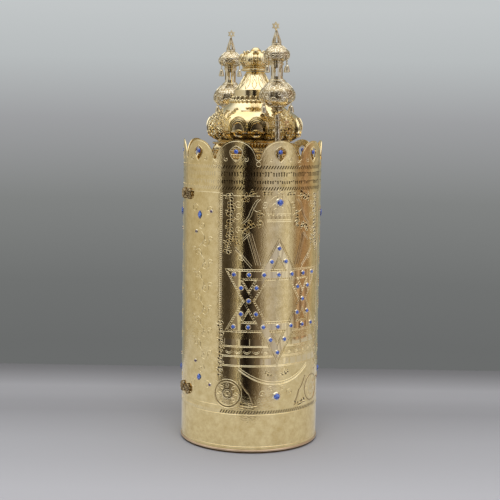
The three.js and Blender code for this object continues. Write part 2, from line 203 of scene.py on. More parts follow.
def rampOn(tree, value, stops):
    ramp = addNode(tree, "ValToRGB", Fac=value)
    elements = ramp.color_ramp.elements
    while len(elements) < len(stops):
        elements.new(0.5)
    for element, (place, colour) in zip(elements, stops):
        element.position = place
        element.color = (*colour, 1)
    return ramp.outputs["Color"]


def rangeOn(tree, value, low, high, to=(0.0, 1.0), **settings):
    return addNode(tree, "MapRange", Value=value, From_Min=low, From_Max=high, To_Min=to[0], To_Max=to[1],
                   **settings).outputs["Result"]


def mixOn(tree, share, first, second, **settings):
    return addNode(tree, "MixRGB", Fac=share, Color1=first, Color2=second, **settings).outputs["Color"]


def dotOn(tree, coords, direction):
    dot = addNode(tree, "VectorMath", operation="DOT_PRODUCT")
    tree.links.new(coords, dot.inputs[0])
    dot.inputs[1].default_value = direction
    return dot.outputs["Value"]


def bumpOn(tree, height, distance, strength=1.0, **below):
    return addNode(tree, "Bump", Height=height, Strength=strength, Distance=distance, **below).outputs["Normal"]


def giltMetal(name, look):
    material, tree, shader, coords = newMaterial(name)
    stipple = addNode(tree, "TexVoronoi", feature="F1", Vector=coords, Scale=look["stippleScale"]).outputs["Distance"]
    if look.get("grains"):
        # painted shade between the grains: each grain is light at its middle and dark towards its edge
        colour = rampOn(tree, stipple, [(0.30, look["light"]), (0.58, look["dark"])])
    else:
        cloud = noiseOn(tree, coords, look["cloudScale"], look.get("cloudDetail", 3.0),
                        coarse=look.get("coarse", 0.5))
        colour = rampOn(tree, cloud, [(0.3, look["dark"]), (0.62, look["light"])])
    wear = rangeOn(tree, noiseOn(tree, coords, look["wearScale"], 5.0), 0.3, 0.7, look["roughness"])
    below = {}
    if look.get("wave"):
        wave = noiseOn(tree, coords, look["waveScale"], 2.0, (1, 1, look["waveStretch"]))
        below["Normal"] = bumpOn(tree, wave, look["wave"])
    feed(tree, shader, Metallic=1.0, Base_Color=colour, Roughness=wear,
         Normal=bumpOn(tree, stipple, look["stipple"], **below))
    return material


metalLooks = {
    "gilt_sheet": {  # satin stippled ground of the case
        "dark": (0.70, 0.53, 0.225), "light": (1.0, 0.825, 0.455), "cloudScale": 60.0, "cloudDetail": 6.0,
        "coarse": 0.85, "wearScale": 60.0, "roughness": (0.04, 0.11),
        "wave": 0.0005, "waveScale": 26.0, "waveStretch": 0.10, "stippleScale": 480.0, "stipple": 0.00010,
    },
    "gilt_ridges": {  # raised and burnished lines
        "dark": (0.86, 0.70, 0.38), "light": (0.97, 0.85, 0.55), "cloudScale": 30.0,
        "wearScale": 90.0, "roughness": (0.08, 0.2), "stippleScale": 700.0, "stipple": 0.00003,
    },
    "gilt_bands": {  # smooth bands of the star
        "dark": (0.86, 0.70, 0.40), "light": (0.94, 0.80, 0.50), "cloudScale": 12.0,
        "wearScale": 40.0, "roughness": (0.03, 0.08),
        "wave": 0.0004, "waveScale": 34.0, "waveStretch": 0.3, "stippleScale": 420.0, "stipple": 0.00001,
    },
    "gilt_painted_half_shade": {  # painted shade, lighter: darker brown gold beside raised work and on a cove that lies in shade
        "dark": (0.20, 0.13, 0.05), "light": (0.46, 0.34, 0.16), "cloudScale": 120.0,
        "wearScale": 90.0, "roughness": (0.15, 0.32), "stippleScale": 600.0, "stipple": 0.00008,
    },
    "gilt_painted_shade": {  # painted shade, near black: in the recesses between the chasing, under the foot rim and where the metal mirrors dark surroundings
        "dark": (0.02, 0.012, 0.006), "light": (0.12, 0.08, 0.032), "cloudScale": 90.0,
        "wearScale": 90.0, "roughness": (0.2, 0.4), "stippleScale": 600.0, "stipple": 0.00008,
    },
    "crown_gilt": {
        "dark": (0.86, 0.66, 0.32), "light": (1.0, 0.86, 0.54), "cloudScale": 22.0,
        "wearScale": 70.0, "roughness": (0.08, 0.18), "stippleScale": 460.0, "stipple": 0.00007,
    },
    "granulated_silver_gilt": {  # bulbs of the finials
        "dark": (0.46, 0.36, 0.20), "light": (1.0, 0.91, 0.70), "grains": True,
        "wearScale": 120.0, "roughness": (0.2, 0.34), "stippleScale": 330.0, "stipple": -0.00020,
    },
    "smooth_silver_gilt": {
        "dark": (0.76, 0.64, 0.42), "light": (0.98, 0.90, 0.68), "cloudScale": 70.0,
        "wearScale": 120.0, "roughness": (0.08, 0.18), "stippleScale": 330.0, "stipple": 0.00005,
    },
    "foot_rim_metal": {
        "dark": (0.60, 0.44, 0.28), "light": (0.78, 0.60, 0.42), "cloudScale": 30.0,
        "wearScale": 60.0, "roughness": (0.28, 0.42), "stippleScale": 500.0, "stipple": 0.00004,
    },
    "clasp_bronze": {
        "dark": (0.05, 0.03, 0.015), "light": (0.55, 0.42, 0.24), "cloudScale": 240.0,
        "wearScale": 200.0, "roughness": (0.15, 0.32), "stippleScale": 600.0, "stipple": 0.00006,
    },
}
(gilt, giltRidge, giltPolish, giltShade, giltPaintedShade, crownGold, paleGold, paleSmooth, rimMetal,
 bronze) = [giltMetal(name, look) for name, look in metalLooks.items()]


def stoneGlass(name, stops):
    material, tree, shader, coords = newMaterial(name)
    flash = addNode(tree, "TexVoronoi", feature="F1", Vector=coords, Scale=420.0)
    feed(tree, shader, Base_Color=rampOn(tree, flash.outputs["Color"], stops), Roughness=0.05, IOR=1.75,
         Coat_Weight=0.6, Coat_Roughness=0.03)
    return material


def floorWood(name, stops):
    material, tree, shader, coords = newMaterial(name)
    grain = noiseOn(tree, coords, 38.0, 6.0, (0.12, 1, 1))
    feed(tree, shader, Base_Color=rampOn(tree, grain, stops), Roughness=0.55, Normal=bumpOn(tree, grain, 0.0006, 0.6))
    return material


stoneBlue = stoneGlass("blue_glass", [(0.0, (0.006, 0.02, 0.20)), (0.5, (0.02, 0.08, 0.46)),
                                      (0.9, (0.16, 0.32, 0.85))])
stonePurple = stoneGlass("violet_glass", [(0.2, (0.02, 0.006, 0.05)), (0.9, (0.10, 0.03, 0.16))])
wood = floorWood("floor_wood", [(0.3, (0.16, 0.09, 0.045)), (0.55, (0.33, 0.20, 0.11)), (0.75, (0.42, 0.28, 0.16))])
print("materials ready")


# Chased lines: strokes are drawn flat, across in metres and up in metres, then laid on a surface
def polar(x, z, radius, degrees, squash=1.0):
    turn = math.radians(degrees)
    return x + radius * math.cos(turn), z + radius * squash * math.sin(turn)


def arcStroke(x, z, radius, start, end, steps=14, squash=1.0):
    return [polar(x, z, radius, start + (end - start) * i / steps, squash) for i in range(steps + 1)]


def between(a, b, share):
    return a[0] + (b[0] - a[0]) * share, a[1] + (b[1] - a[1]) * share


def scrollStroke(x, z, reach, curl, turns=1.35, steps=26, flip=1, tilt=0.0):
    # a spiral that starts at its eye and runs out
    return [polar(x, z, curl + (reach - curl) * (i / steps) ** 1.3, tilt + flip * turns * 360 * i / steps)
            for i in range(steps + 1)]


def waveStroke(start, end, swing, waves=1.0, steps=24):
    length = math.dist(start, end)
    points = []
    for i in range(steps + 1):
        x, z = between(start, end, i / steps)
        side = swing * math.sin(i / steps * waves * 2 * math.pi) / length
        points.append((x - (end[1] - start[1]) * side, z + (end[0] - start[0]) * side))
    return points


def splitStroke(stroke, step):
    # extra points, so that a straight stroke can bend
    points = [stroke[0]]
    for start, end in zip(stroke, stroke[1:]):
        pieces = max(1, math.ceil(math.dist(start, end) / step))
        points += [between(start, end, i / pieces) for i in range(1, pieces + 1)]
    return points


def mirrored(strokes):
    return strokes + [[(-x, z) for x, z in stroke] for stroke in strokes]


def shifted(stroke, along, up):
    return [(x + along, z + up) for x, z in stroke]


def closed(ring):
    return ring + ring[:1]


def ridgeMesh(strokes, width, height, step, lift=0.0):
    # strokes as low raised ridges, still flat: x across, y up, z off the surface
    mesh = tubeMesh([[(x, z, 0) for x, z in splitStroke(stroke, step)] for stroke in strokes], width / 2)
    moveVerts(mesh, lambda points: points * (1, 1, 2 * height / width) + (0, 0, lift))
    mesh.set_sharp_from_angle(angle=math.radians(40))
    return mesh


def wrapOnCase(points):
    # flat x, y, z becomes angle, height and distance off the case, front half facing -Y
    angle = points[:, 0] / caseRadius
    radius = caseRadius + points[:, 2]
    return np.column_stack([radius * np.sin(angle), -radius * np.cos(angle), points[:, 1]])


# Case sheet: lobed crest with drop-shaped openings
caseSheet = {
    "lobes": 5,
    "crestTop": 0.615,
    "lobeRadius": 0.0416,
    "valleyHeight": 0.5778,
    "valleyGap": 0.0012,  # the lobes' arcs end this much above the valleys
    "openingDrop": 0.0124,
    "openingHeight": 0.028,
    "openingWidth": 0.0227,
    "openingWidest": 0.41,
    "bendStep": math.radians(2.5),
    "rows": np.arange(0.03, 0.59, 0.02),
}
lobePitch = 2 * halfArc / caseSheet["lobes"]
lobeCentres = [(i - (caseSheet["lobes"] - 1) / 2) * lobePitch for i in range(caseSheet["lobes"])]
openingTop = caseSheet["crestTop"] - caseSheet["openingDrop"]


def crestOutline(inset=0.0):
    centre = caseSheet["crestTop"] - caseSheet["lobeRadius"]
    rise = caseSheet["valleyHeight"] + caseSheet["valleyGap"] - centre
    rise = math.degrees(math.asin(rise / caseSheet["lobeRadius"]))
    points = []
    for i, x in enumerate(lobeCentres):
        points += arcStroke(x, centre, caseSheet["lobeRadius"] - inset, 180 - rise, rise, 28)
        if i < len(lobeCentres) - 1:
            points.append((x + lobePitch / 2, caseSheet["valleyHeight"] - inset))
    return points


def openingOutline(x, grow=0.0, steps=9):
    upper = caseSheet["openingHeight"] * caseSheet["openingWidest"]
    lower = caseSheet["openingHeight"] - upper
    half = caseSheet["openingWidth"] / 2
    side = [(half * (1 - (1 - i / steps) ** 2.4), upper * (1 - i / steps)) for i in range(steps)]
    side += [(half * (1 - (i / steps) ** 1.8), -lower * i / steps) for i in range(steps + 1)]
    ring = side + [(-a, b) for a, b in reversed(side[1:-1])]
    scale = 1 + grow / half
    return [(x + a * scale, openingTop - upper + b * scale) for a, b in ring]


def sheetMesh():
    edge = halfArc - seamGap
    low = shellBox[0].z
    outline = [(-edge, low), (-edge, caseSheet["valleyHeight"]), *crestOutline(),
               (edge, caseSheet["valleyHeight"]), (edge, low)]
    bm = bmesh.new()
    for loop in [outline] + [openingOutline(x) for x in lobeCentres]:
        verts = [bm.verts.new((x, z, 0)) for x, z in loop]
        for a, b in zip(verts, closed(verts)[1:]):
            bm.edges.new((a, b))
    bmesh.ops.triangle_fill(bm, use_beauty=True, use_dissolve=False, edges=bm.edges)
    step = caseSheet["bendStep"] * caseRadius
    cuts = int(edge / step)
    cutAcross(bm, [i * step for i in range(-cuts, cuts + 1)], dist=1e-6)
    cutAcross(bm, caseSheet["rows"], 1, dist=1e-6)
    for face in bm.faces:
        if face.normal.z < 0:
            face.normal_flip()
    return thickened(moveVerts(meshFrom(bm, "case_sheet"), wrapOnCase), sheetWall)


# Chasing on the case: twisted borders, star, panels, motifs
chasing = {
    "ropeBands": [0.5636, 0.5228, 0.0830],
    "ropeHeight": 0.0064,
    "ropePitch": 0.0056,
    "ropeSlant": 0.62,
    "bar": 0.0021,
    "barHeight": 0.0003,
    "panelEdge": 0.1180,  # where the side panels begin
    "starHeight": 0.3044,
    "starRadius": 0.1025,
    "bandWidth": 0.0130,
    "bandLift": 0.0003,
    "ladderWidth": 0.0036,
    "rungStep": 0.0050,
    "stonesPerSide": 7,
    "line": 0.0009,
    "lineHeight": 0.0004,
    "vineStep": 0.0084,
    "starTip": 0.1811,  # the lowest corner of the star's borders
    "inscription": [(0.5450, 0.0095, 0.0054), (0.5310, 0.0070, 0.0050)],  # foot, height and pitch of a row
}


def across(z):
    return [(0.003 - halfArc, z), (halfArc - 0.003, z)]


def inRow(count, pitch):
    return [(i - (count - 1) / 2) * pitch for i in range(count)]


def ropeBars(z):
    # slanted bars of a twisted border
    half = chasing["ropeHeight"] / 2
    lean = half * chasing["ropeSlant"]
    places = inRow(int(2 * (halfArc - 0.004) / chasing["ropePitch"]), chasing["ropePitch"])
    return [[(x - lean, z - half), (x + lean, z + half)] for x in places]


def starCorners(start, radius):
    return [polar(0, chasing["starHeight"], radius, start + turn) for turn in (0, 120, 240)]


def starBorders():
    # double lines with rungs along both edges of every band
    strokes = []
    for start in (90, 270):
        for side in (-1, 1):
            near = chasing["starRadius"] + side * (chasing["bandWidth"] + 0.0006)
            inner = closed(starCorners(start, near))
            outer = closed(starCorners(start, near + side * 2 * chasing["ladderWidth"]))
            strokes += [inner, outer]
            for a, b, c, d in zip(inner, inner[1:], outer, outer[1:]):
                rungs = int(math.dist(a, b) / chasing["rungStep"])
                strokes += [[between(a, b, k / rungs), between(c, d, k / rungs)] for k in range(1, rungs)]
    return strokes


def starBandMesh():
    # both triangles as thin polished bands
    bm = bmesh.new()
    for level, start in enumerate((90, 270)):
        loops = []
        for side in (-1, 1):
            corners = starCorners(start, chasing["starRadius"] + side * chasing["bandWidth"])
            verts = [bm.verts.new((x, z, 0)) for x, z in corners]
            loops += [bm.edges.new((a, b)) for a, b in zip(verts, closed(verts)[1:])]
        faces = bmesh.ops.bridge_loops(bm, edges=loops)["faces"]
        top = bmesh.ops.extrude_face_region(bm, geom=faces)["geom"]
        lifted = [v for v in top if isinstance(v, bmesh.types.BMVert)]
        bmesh.ops.translate(bm, verts=lifted, vec=(0, 0, chasing["bandLift"] + 0.0001 * level))
    cutAcross(bm, [i * 0.004 for i in range(-26, 27)])
    bmesh.ops.recalc_face_normals(bm, faces=bm.faces)
    return meshFrom(bm, "star_bands", 30)


def starStonePlaces():
    places = {}
    for start in (90, 270):
        corners = closed(starCorners(start, chasing["starRadius"]))
        for a, b in zip(corners, corners[1:]):
            for k in range(chasing["stonesPerSide"] - 1):
                place = between(a, b, k / (chasing["stonesPerSide"] - 1))
                places[(round(place[0], 3), round(place[1], 3))] = place
    return list(places.values())


# Figures on each half: across from its middle and up from the table, the left side mirrors the right
figures = {
    "ribbon": [(0.0380, 0.5030), (0.0450, 0.4965), (0.0495, 0.4880), (0.0535, 0.4795), (0.0570, 0.4700),
               (0.0625, 0.4620), (0.0708, 0.4550)],
    "steepBand": [(0.0550, 0.4366), (0.0358, 0.3746)],
    "flatBand": [(0.0863, 0.4094), (0.0536, 0.3727)],
    "cuff": [(0.0726, 0.4254), (0.0582, 0.4386)],
    "scrolls": [  # place, reach, eye, turns, points, way round and tilt
        (0.0820, 0.4930, 0.0085, 0.0014, 1.6, 30, -1, 40), (0.0825, 0.4700, 0.0080, 0.0014, 1.5, 28, 1, 160),
        (0.0810, 0.4440, 0.0070, 0.0012, 1.4, 26, -1, 60), (0.0390, 0.4560, 0.0070, 0.0012, 1.4, 26, 1, 90),
        (0.0750, 0.3900, 0.0070, 0.0012, 1.4, 26, -1, 0)],
    "borderLine": [(0.0400, 0.5085), (0.1130, 0.5085)],
    "shades": [  # painted shade: dark lines beside the ribbons
        [(0.0510, 0.4840), (0.0540, 0.4760), (0.0590, 0.4670), (0.0680, 0.4580)],
        [(0.0580, 0.4366), (0.0490, 0.4080)], [(0.0855, 0.4075), (0.0550, 0.3735)]],
    "courses": (0.2130, 0.1935, 0.1745),
    "courseEdge": 0.112,
    "medallion": (0.0990, 0.1190),
    "rings": (0.0288, 0.0236, 0.0045),
    "darkRing": 0.0262,
    "brightRing": 0.0100,
    "leafRing": 0.0125,
    "leaf": 0.0095,
    "scarf": [(0.0755, 0.1475), (0.0697, 0.1360), (0.0607, 0.1228), (0.0567, 0.1200), (0.0480, 0.0998)],
    "lowScrolls": [(0.0300, 0.1200, 0.0090, 0.001, 1.4, 26, 1, 90), (0.0120, 0.1290, 0.0070, 0.001, 1.3, 24, -1, 90)],
    "vines": [  # path and width: beside the star and down the inner edge of the side panels
        ([(0.0995, 0.5120), (0.0970, 0.4700), (0.0990, 0.4300), (0.1050, 0.3960)], 0.0092),
        ([(0.0740, 0.5020), (0.0600, 0.5100), (0.0450, 0.5150)], 0.0086),
        ([(0.0720, 0.4410), (0.0620, 0.4490), (0.0510, 0.4570)], 0.0086),
        ([(0.0170, 0.5130), (0.0350, 0.5140)], 0.0056),
        ([(0.0390, 0.4800), (0.0420, 0.4460)], 0.0060),
        ([(0.1165, 0.2620), (0.1140, 0.2200), (0.1160, 0.1500)], 0.0078),
        ([(0.0870, 0.4300), (0.0830, 0.4080)], 0.0060),
        ([(0.0730, 0.0960), (0.0550, 0.0935), (0.0390, 0.0960)], 0.0070),
        ([(0.0250, 0.1640), (0.0070, 0.1560)], 0.0060)],
    "motif": 0.4590,  # foot of the arched crown round the large stone
    "motifHalf": 0.026,
    "ladder": 0.1145,
    "ladderStep": 0.0042,
    "panelMiddle": 0.1640,
}


def crownMotif():
    # an arched crown on a band with small arches
    z, half = figures["motif"], figures["motifHalf"]
    strokes = [[(-half, z + up), (half, z + up)] for up in (0, 0.0035, 0.0150)]
    strokes += [arcStroke(x, z + 0.006, 0.0036, 180, 0, 8, 1.9) for x in inRow(6, 0.0086)]
    right = [arcStroke(0.004, z + 0.0150, 0.0225 - 0.0055 * k, -10, 92, 16, 1.55 - 0.25 * k) for k in range(3)]
    right += [scrollStroke(0.030, 0.4925, 0.0075, 0.0012, 1.3, 24, 1, 200),
              arcStroke(0.0, 0.5080, 0.0055, -80, 85, 10, 1.2),
              [(0.0, 0.5145), (0.0055, 0.5185), (0.0, 0.5215)],
              waveStroke((half, z + 0.002), (2 * half, 0.4890), 0.004, 0.9)]
    return strokes + mirrored(right)


def sideFigures():
    # ribbons and crossing bands between the star and the upper border
    right = [shifted(figures["ribbon"], step, 0) for step in (0, 0.0048)]
    right += [shifted(figures["steepBand"], step, 0) for step in (0, 0.0042, 0.0064, 0.0104)]
    right += [shifted(figures["flatBand"], 0, step) for step in (0, -0.0058)]
    right += [shifted(figures["cuff"], 0, step) for step in (0, -0.0044)]
    return mirrored(right + [scrollStroke(*scroll) for scroll in figures["scrolls"]] + [figures["borderLine"]])


def darkBands():
    # painted shade beside the ribbons, along the scarf and round the medallion
    return mirrored(figures["shades"] + [shifted(figures["scarf"], -0.0027, 0),
                                         arcStroke(*figures["medallion"], figures["darkRing"], 0, 360, 36)])


def brightBands():
    # burnished fills, by their width: they mirror the room where the ground only glows
    narrow = [shifted(figures["ribbon"], 0.0024, 0)]
    narrow += [shifted(figures["steepBand"], step, 0) for step in (0.0021, 0.0084)]
    narrow += [shifted(figures["cuff"], 0, -0.0022),
               arcStroke(*figures["medallion"], figures["brightRing"], 0, 360, 20)]
    middle = [shifted(figures["flatBand"], 0, -0.0029)]
    x = figures["ladder"] + figures["ladderStep"] / 2
    middle += [[(x, 0.2740 + i * 0.0190), (x, 0.2885 + i * 0.0190)] for i in range(7)]
    tall = [[(x, 0.2225), (x + 0.0200, 0.2225)] for x in (0.0335, 0.0585, 0.0835)]
    tall += [[(0.0130 + i * 0.0168, 0.1840), (0.0260 + i * 0.0168, 0.1840)] for i in range(6)]
    return {0.0030: mirrored(narrow), 0.0044: mirrored(middle), 0.0125: mirrored(tall)}


def leafStroke(x, z, length, turn, fat=0.30, steps=8):
    # a pointed leaf's outline
    points = []
    for i in range(steps + 1):
        out = 1 - abs(2 * i / steps - 1)
        side = fat * math.sin(math.pi * out) * (1 if i * 2 < steps else -1)
        points.append((x + length * (out * math.cos(turn) - side * math.sin(turn)),
                       z + length * (out * math.sin(turn) + side * math.cos(turn))))
    return points


def leafyStem(path, wide, step):
    # leaves of uneven size to both sides of a stem: their outlines, and the hollows inside them
    outlines, hollows = [path], []
    stem = splitStroke(path, step)
    for i, (a, b) in enumerate(zip(stem, stem[1:])):
        ahead = math.atan2(b[1] - a[1], b[0] - a[0])
        for side in (-1, 1):
            turn = ahead + side * rng.uniform(0.5, 1.5)
            size = wide * rng.uniform(0.6, 1.2)
            outlines.append(leafStroke(*a, size, turn, 0.32))
            hollows.append([polar(*a, size * share, math.degrees(turn)) for share in (0.3, 0.72)])
        if i % 2:
            off = math.degrees(ahead) + (90 if i % 4 > 1 else -90)
            outlines.append(scrollStroke(*polar(*a, wide * 0.9, off), wide * 0.4, 0.0005, 1.1, 12, 1, 90 * i))
    return outlines, hollows


def caseStems():
    vines = [path for path, wide in figures["vines"]]
    widths = [wide for path, wide in figures["vines"]] * 2
    stems = [leafyStem(path, wide, chasing["vineStep"]) for path, wide in zip(mirrored(vines), widths)]
    return [[stroke for stem in stems for stroke in stem[kind]] for kind in (0, 1)]


def inscriptionStrokes(rowLow, rowHeight, pitch):
    # a row of shallow marks that are no letters
    strokes = []
    for x in inRow(int(2 * (halfArc - 0.012) / pitch), pitch):
        kind = rng.randrange(4)
        top = rowLow + rowHeight * rng.uniform(0.8, 1)
        lean = rng.uniform(-0.0008, 0.0008)
        if kind < 3:
            strokes.append([(x, rowLow + rowHeight * 0.1), (x + lean, top)])
        if kind > 0:
            strokes.append([(x - pitch * 0.3, top), (x + pitch * 0.25, top - 0.0006)])
    return strokes


def tierStrokes():
    # courses of blocks, garlands, a swag and medallions below the star
    right = []
    for z in figures["courses"]:
        clear = max(0.0, (z - chasing["starTip"]) / math.sqrt(3)) + 0.001
        right += [[(clear + along, z + up), (figures["courseEdge"], z + up)]
                  for along, up in ((0, 0), (0.0013, 0.0022))]
    right += [arcStroke(0.0250 + i * 0.0180, 0.2085, radius, 200, 340, 10, 1.1)
              for i in range(5) for radius in (0.0080, 0.0056)]
    right += [[(0.0310 + i * 0.0250, 0.2155), (0.0310 + i * 0.0250, 0.2300)] for i in range(4)]
    swag = [(0.0770 * i / 12, 0.1430 + 0.0300 * (i / 12) ** 2) for i in range(13)]
    right += [shifted(swag, 0, step) for step in (0, -0.0042, -0.0060)]
    right += [arcStroke(*figures["medallion"], radius, 0, 360, 32) for radius in figures["rings"]]
    right += [leafStroke(*polar(*figures["medallion"], figures["leafRing"], turn), figures["leaf"],
                         math.radians(turn)) for turn in range(0, 360, 45)]
    return mirrored(right + [figures["scarf"]] + [scrollStroke(*scroll) for scroll in figures["lowScrolls"]])


def panelStrokes():
    # ladder uprights, corner leaves and plain frames on the two side panels
    inner, outer, middle = figures["ladder"], halfArc - 0.010, figures["panelMiddle"]
    step = figures["ladderStep"]
    right = [[(x, 0.268), (x, 0.515)] for x in (inner, inner + step)]
    right += [[(inner, 0.270 + i * 0.0041), (inner + step, 0.270 + i * 0.0041)] for i in range(60)]
    right += [[(inner + 0.006, z), (outer, z)] for z in (0.0945, 0.5135)]
    for z, flip in ((0.4700, 1), (0.1400, -1)):
        for turn in (25, 155, 265):
            right.append(scrollStroke(*polar(middle, z, 0.022, turn, flip), 0.011, 0.001, 1.4, 26, flip, turn))
    for i in range(11):
        side = 1 if i % 2 else -1
        x, z = middle + side * 0.0100, 0.1900 + i * 0.0225
        right.append(scrollStroke(x, z, 0.0115, 0.0010, 1.35, 24, side, 90 * side))
        right.append(arcStroke(x + side * 0.013, z + 0.008, 0.006, 0, 300, 12, 0.55))
    right.append(waveStroke((middle, 0.1800), (middle, 0.4350), 0.0085, 5.5, 120))
    return mirrored(right)


def crestStrokes():
    strokes = [crestOutline(0.0026)]
    for x in lobeCentres:
        strokes.append(closed(openingOutline(x, 0.0012)))
        for turn, flip in ((200, -1), (340, 1)):
            strokes.append(scrollStroke(polar(x, 0, 0.021, turn)[0], 0.5780, 0.0052, 0.0008, 1.2, 18, flip, turn))
    return strokes + [arcStroke(x + lobePitch / 2, 0.5695, 0.0045, 0, 360, 12) for x in lobeCentres[:-1]]


def laidOnCase(strokes, width, height, step, look):
    return moveVerts(painted(ridgeMesh(strokes, width, height, step), look), wrapOnCase)


def caseMesh():
    sheet = painted(sheetMesh(), 0)
    bands = moveVerts(painted(starBandMesh(), 2), wrapOnCase)
    bars = [bar for z in chasing["ropeBands"] for bar in ropeBars(z)]
    marks = [mark for row in chasing["inscription"] for mark in inscriptionStrokes(*row)]
    outlines, hollows = caseStems()
    drawn = starBorders() + crownMotif() + sideFigures() + tierStrokes() + panelStrokes()
    drawn += [across(0.0780), across(0.0135)] + crestStrokes()

    def split(strokes):
        # painted shade: the marks are dark between the side panels, where the metal lies in the room's dark
        # reflections, and pale burnished gilt on the panels, where the light washes them out
        edge = chasing["panelEdge"]
        return ([stroke for stroke in strokes if abs(stroke[0][0]) < edge],
                [stroke for stroke in strokes if abs(stroke[0][0]) >= edge])

    (shadedBars, litBars), (shadedMarks, litMarks) = split(bars), split(marks)
    # looks: 1 raised lines, 2 burnished gilt, 3 lighter painted shade, 4 near-black painted shade, here in the leaves'
    # hollows, on the bars and marks between the side panels and beside the ribbons
    layers = [
        laidOnCase(drawn, chasing["line"], chasing["lineHeight"], 0.006, 1),
        laidOnCase(shadedBars, chasing["bar"], chasing["barHeight"], 0.01, 4),
        laidOnCase(litBars, chasing["bar"], chasing["barHeight"], 0.01, 2),
        laidOnCase(shadedMarks, 0.0022, 0.0002, 0.006, 4),
        laidOnCase(litMarks, 0.0018, 0.0002, 0.006, 2),
        laidOnCase(hollows, 0.0042, 0.0002, 0.006, 4),
        laidOnCase(darkBands(), 0.0022, 0.00022, 0.004, 3),
        laidOnCase(outlines, 0.0009, 0.0005, 0.006, 1),
    ]
    layers += [laidOnCase(fills, width, 0.00010, 0.004, 2) for width, fills in brightBands().items()]
    return joinMeshes("case", [sheet, bands, *layers])


def addPiece(name, mesh, materials, body, replaced):
    piece = objectFrom(name, mesh, materials)
    if replaced:
        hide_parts(*replaced)
    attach(piece, body)


def addPair(name, mesh, materials, replaced):
    # the piece on both halves, the back one half a turn about the case's axis, each on its own body
    turned = mesh.copy()
    turned.transform(Matrix.Rotation(math.pi, 4, "Z"))
    for body, made in (("front", mesh), ("back", turned)):
        addPiece(body + "_" + name, made, materials, body, [body + "_" + each for each in replaced])


caseSurface = caseMesh()
print("case mesh:", len(caseSurface.polygons), "faces")
addPair("case_sheet", caseSurface, [gilt, giltRidge, giltPolish, giltShade, giltPaintedShade], ["shell"])


# Stones: a faceted gem on a small collar, facing out of the case
stones = {
    "starSize": 0.0040,
    "starLift": 0.0006,
    "largeSize": 0.0066,
    "crestSize": 0.0044,
    "crownHeight": 0.4960,
    "lowHeight": 0.1137,
    "almonds": [(69.2, 0.4680, 0.0046, 0.0085), (68.3, 0.1437, 0.0048, 0.0070)],  # degrees, height, width, length
    "violets": [(56.9, 0.4760), (73.4, 0.4342), (72.9, 0.1749), (56.6, 0.1322)],  # degrees, height
    "violetSize": 0.0029,
    "lift": 0.0004,
}


def caseMatrix(angle, z, lift):
    # x along the case, y up, z out of it
    out = Vector((math.sin(angle), -math.cos(angle), 0))
    side = Vector((math.cos(angle), math.sin(angle), 0))
    place = out * (caseRadius + lift) + Vector((0, 0, z))
    axes = Matrix((side, Vector((0, 0, 1)), out)).transposed().to_4x4()
    return Matrix.Translation(place) @ axes


def moved(x, y, z):
    return Matrix.Translation((x, y, z))


def addCone(bm, segments, low, high, depth, matrix, caps=True):
    bmesh.ops.create_cone(bm, cap_ends=caps, segments=segments, radius1=low, radius2=high, depth=depth, matrix=matrix)


def addGem(bm, matrix, wide, tall, sides=8):
    # girdle, crown facets and table
    shape = matrix @ Matrix.Diagonal((wide, tall, wide, 1))
    addCone(bm, sides, 0.9, 1.0, 0.24, shape @ moved(0, 0, 0.12))
    addCone(bm, sides, 1.0, 0.58, 0.40, shape @ moved(0, 0, 0.44))


def addCollar(bm, matrix, size):
    # a flared collar with four small claws
    shape = matrix @ Matrix.Diagonal((size, size, size, 1))
    addCone(bm, 16, 1.42, 1.18, 0.30, shape @ moved(0, 0, 0.05))
    for turn in (45, 135, 225, 315):
        claw = shape @ moved(*polar(0, 0, 1.02, turn), 0.32)
        bmesh.ops.create_icosphere(bm, subdivisions=1, radius=0.24, matrix=claw)


def pinched(bm, start, matrix):
    # the upper and lower ends of a new stone drawn to points
    back = matrix.inverted()
    for vert in list(bm.verts)[start:]:
        flat = back @ vert.co
        flat.x *= max(0.0, 1 - abs(flat.y) ** 2.2)
        vert.co = matrix @ flat


def setStones(name, metal, *gems):
    # the metal takes the first material, each kind of stone the next
    meshes = [meshFrom(metal, "setting", 30)] + [meshFrom(gem, "gems", 5) for gem in gems]
    return joinMeshes(name, [painted(mesh, look) for look, mesh in enumerate(meshes)])


def stoneMesh():
    collars, gems, violets = bmesh.new(), bmesh.new(), bmesh.new()

    def addSet(bm, angle, z, size, lift):
        matrix = caseMatrix(angle, z, lift)
        addCollar(collars, matrix, size)
        addGem(bm, matrix, size, size)

    for x, z in starStonePlaces():
        addSet(gems, x / caseRadius, z, stones["starSize"], stones["starLift"])
    for side in (-1, 1):
        for degrees, z, wide, tall in stones["almonds"]:
            matrix = caseMatrix(math.radians(side * degrees), z, stones["lift"])
            start = len(gems.verts)
            addGem(gems, matrix, wide, tall, 16)
            pinched(gems, start, matrix @ Matrix.Diagonal((wide, tall, wide, 1)))
        for degrees, z in stones["violets"]:
            addSet(violets, math.radians(side * degrees), z, stones["violetSize"], stones["lift"])
    return setStones("stones", collars, gems, violets)


def largeStoneMesh(z):
    collar, gem = bmesh.new(), bmesh.new()
    matrix, size = caseMatrix(0, z, stones["lift"]), stones["largeSize"]
    addCollar(collar, matrix, size)
    addGem(gem, matrix, size, size * 0.95, 10)
    return setStones("large_stone", collar, gem)


def crestStoneMesh():
    # stones that hang in the openings of the crest
    wires, gems = bmesh.new(), bmesh.new()
    size = stones["crestSize"]
    for x in lobeCentres:
        matrix = caseMatrix(x / caseRadius, openingTop - caseSheet["openingHeight"] * 0.36, -sheetWall)
        addGem(gems, matrix, size, size)
        addCone(gems, 8, 1.0, 0.4, 0.3, matrix @ Matrix.Diagonal((size, size, -size, 1)) @ moved(0, 0, 0.12))
        addCone(wires, 8, 0.0006, 0.0006, 0.0046,
                matrix @ moved(0, 0.0063, 0.0006) @ Matrix.Rotation(math.pi / 2, 4, "X"))
    return setStones("crest_stones", wires, gems)


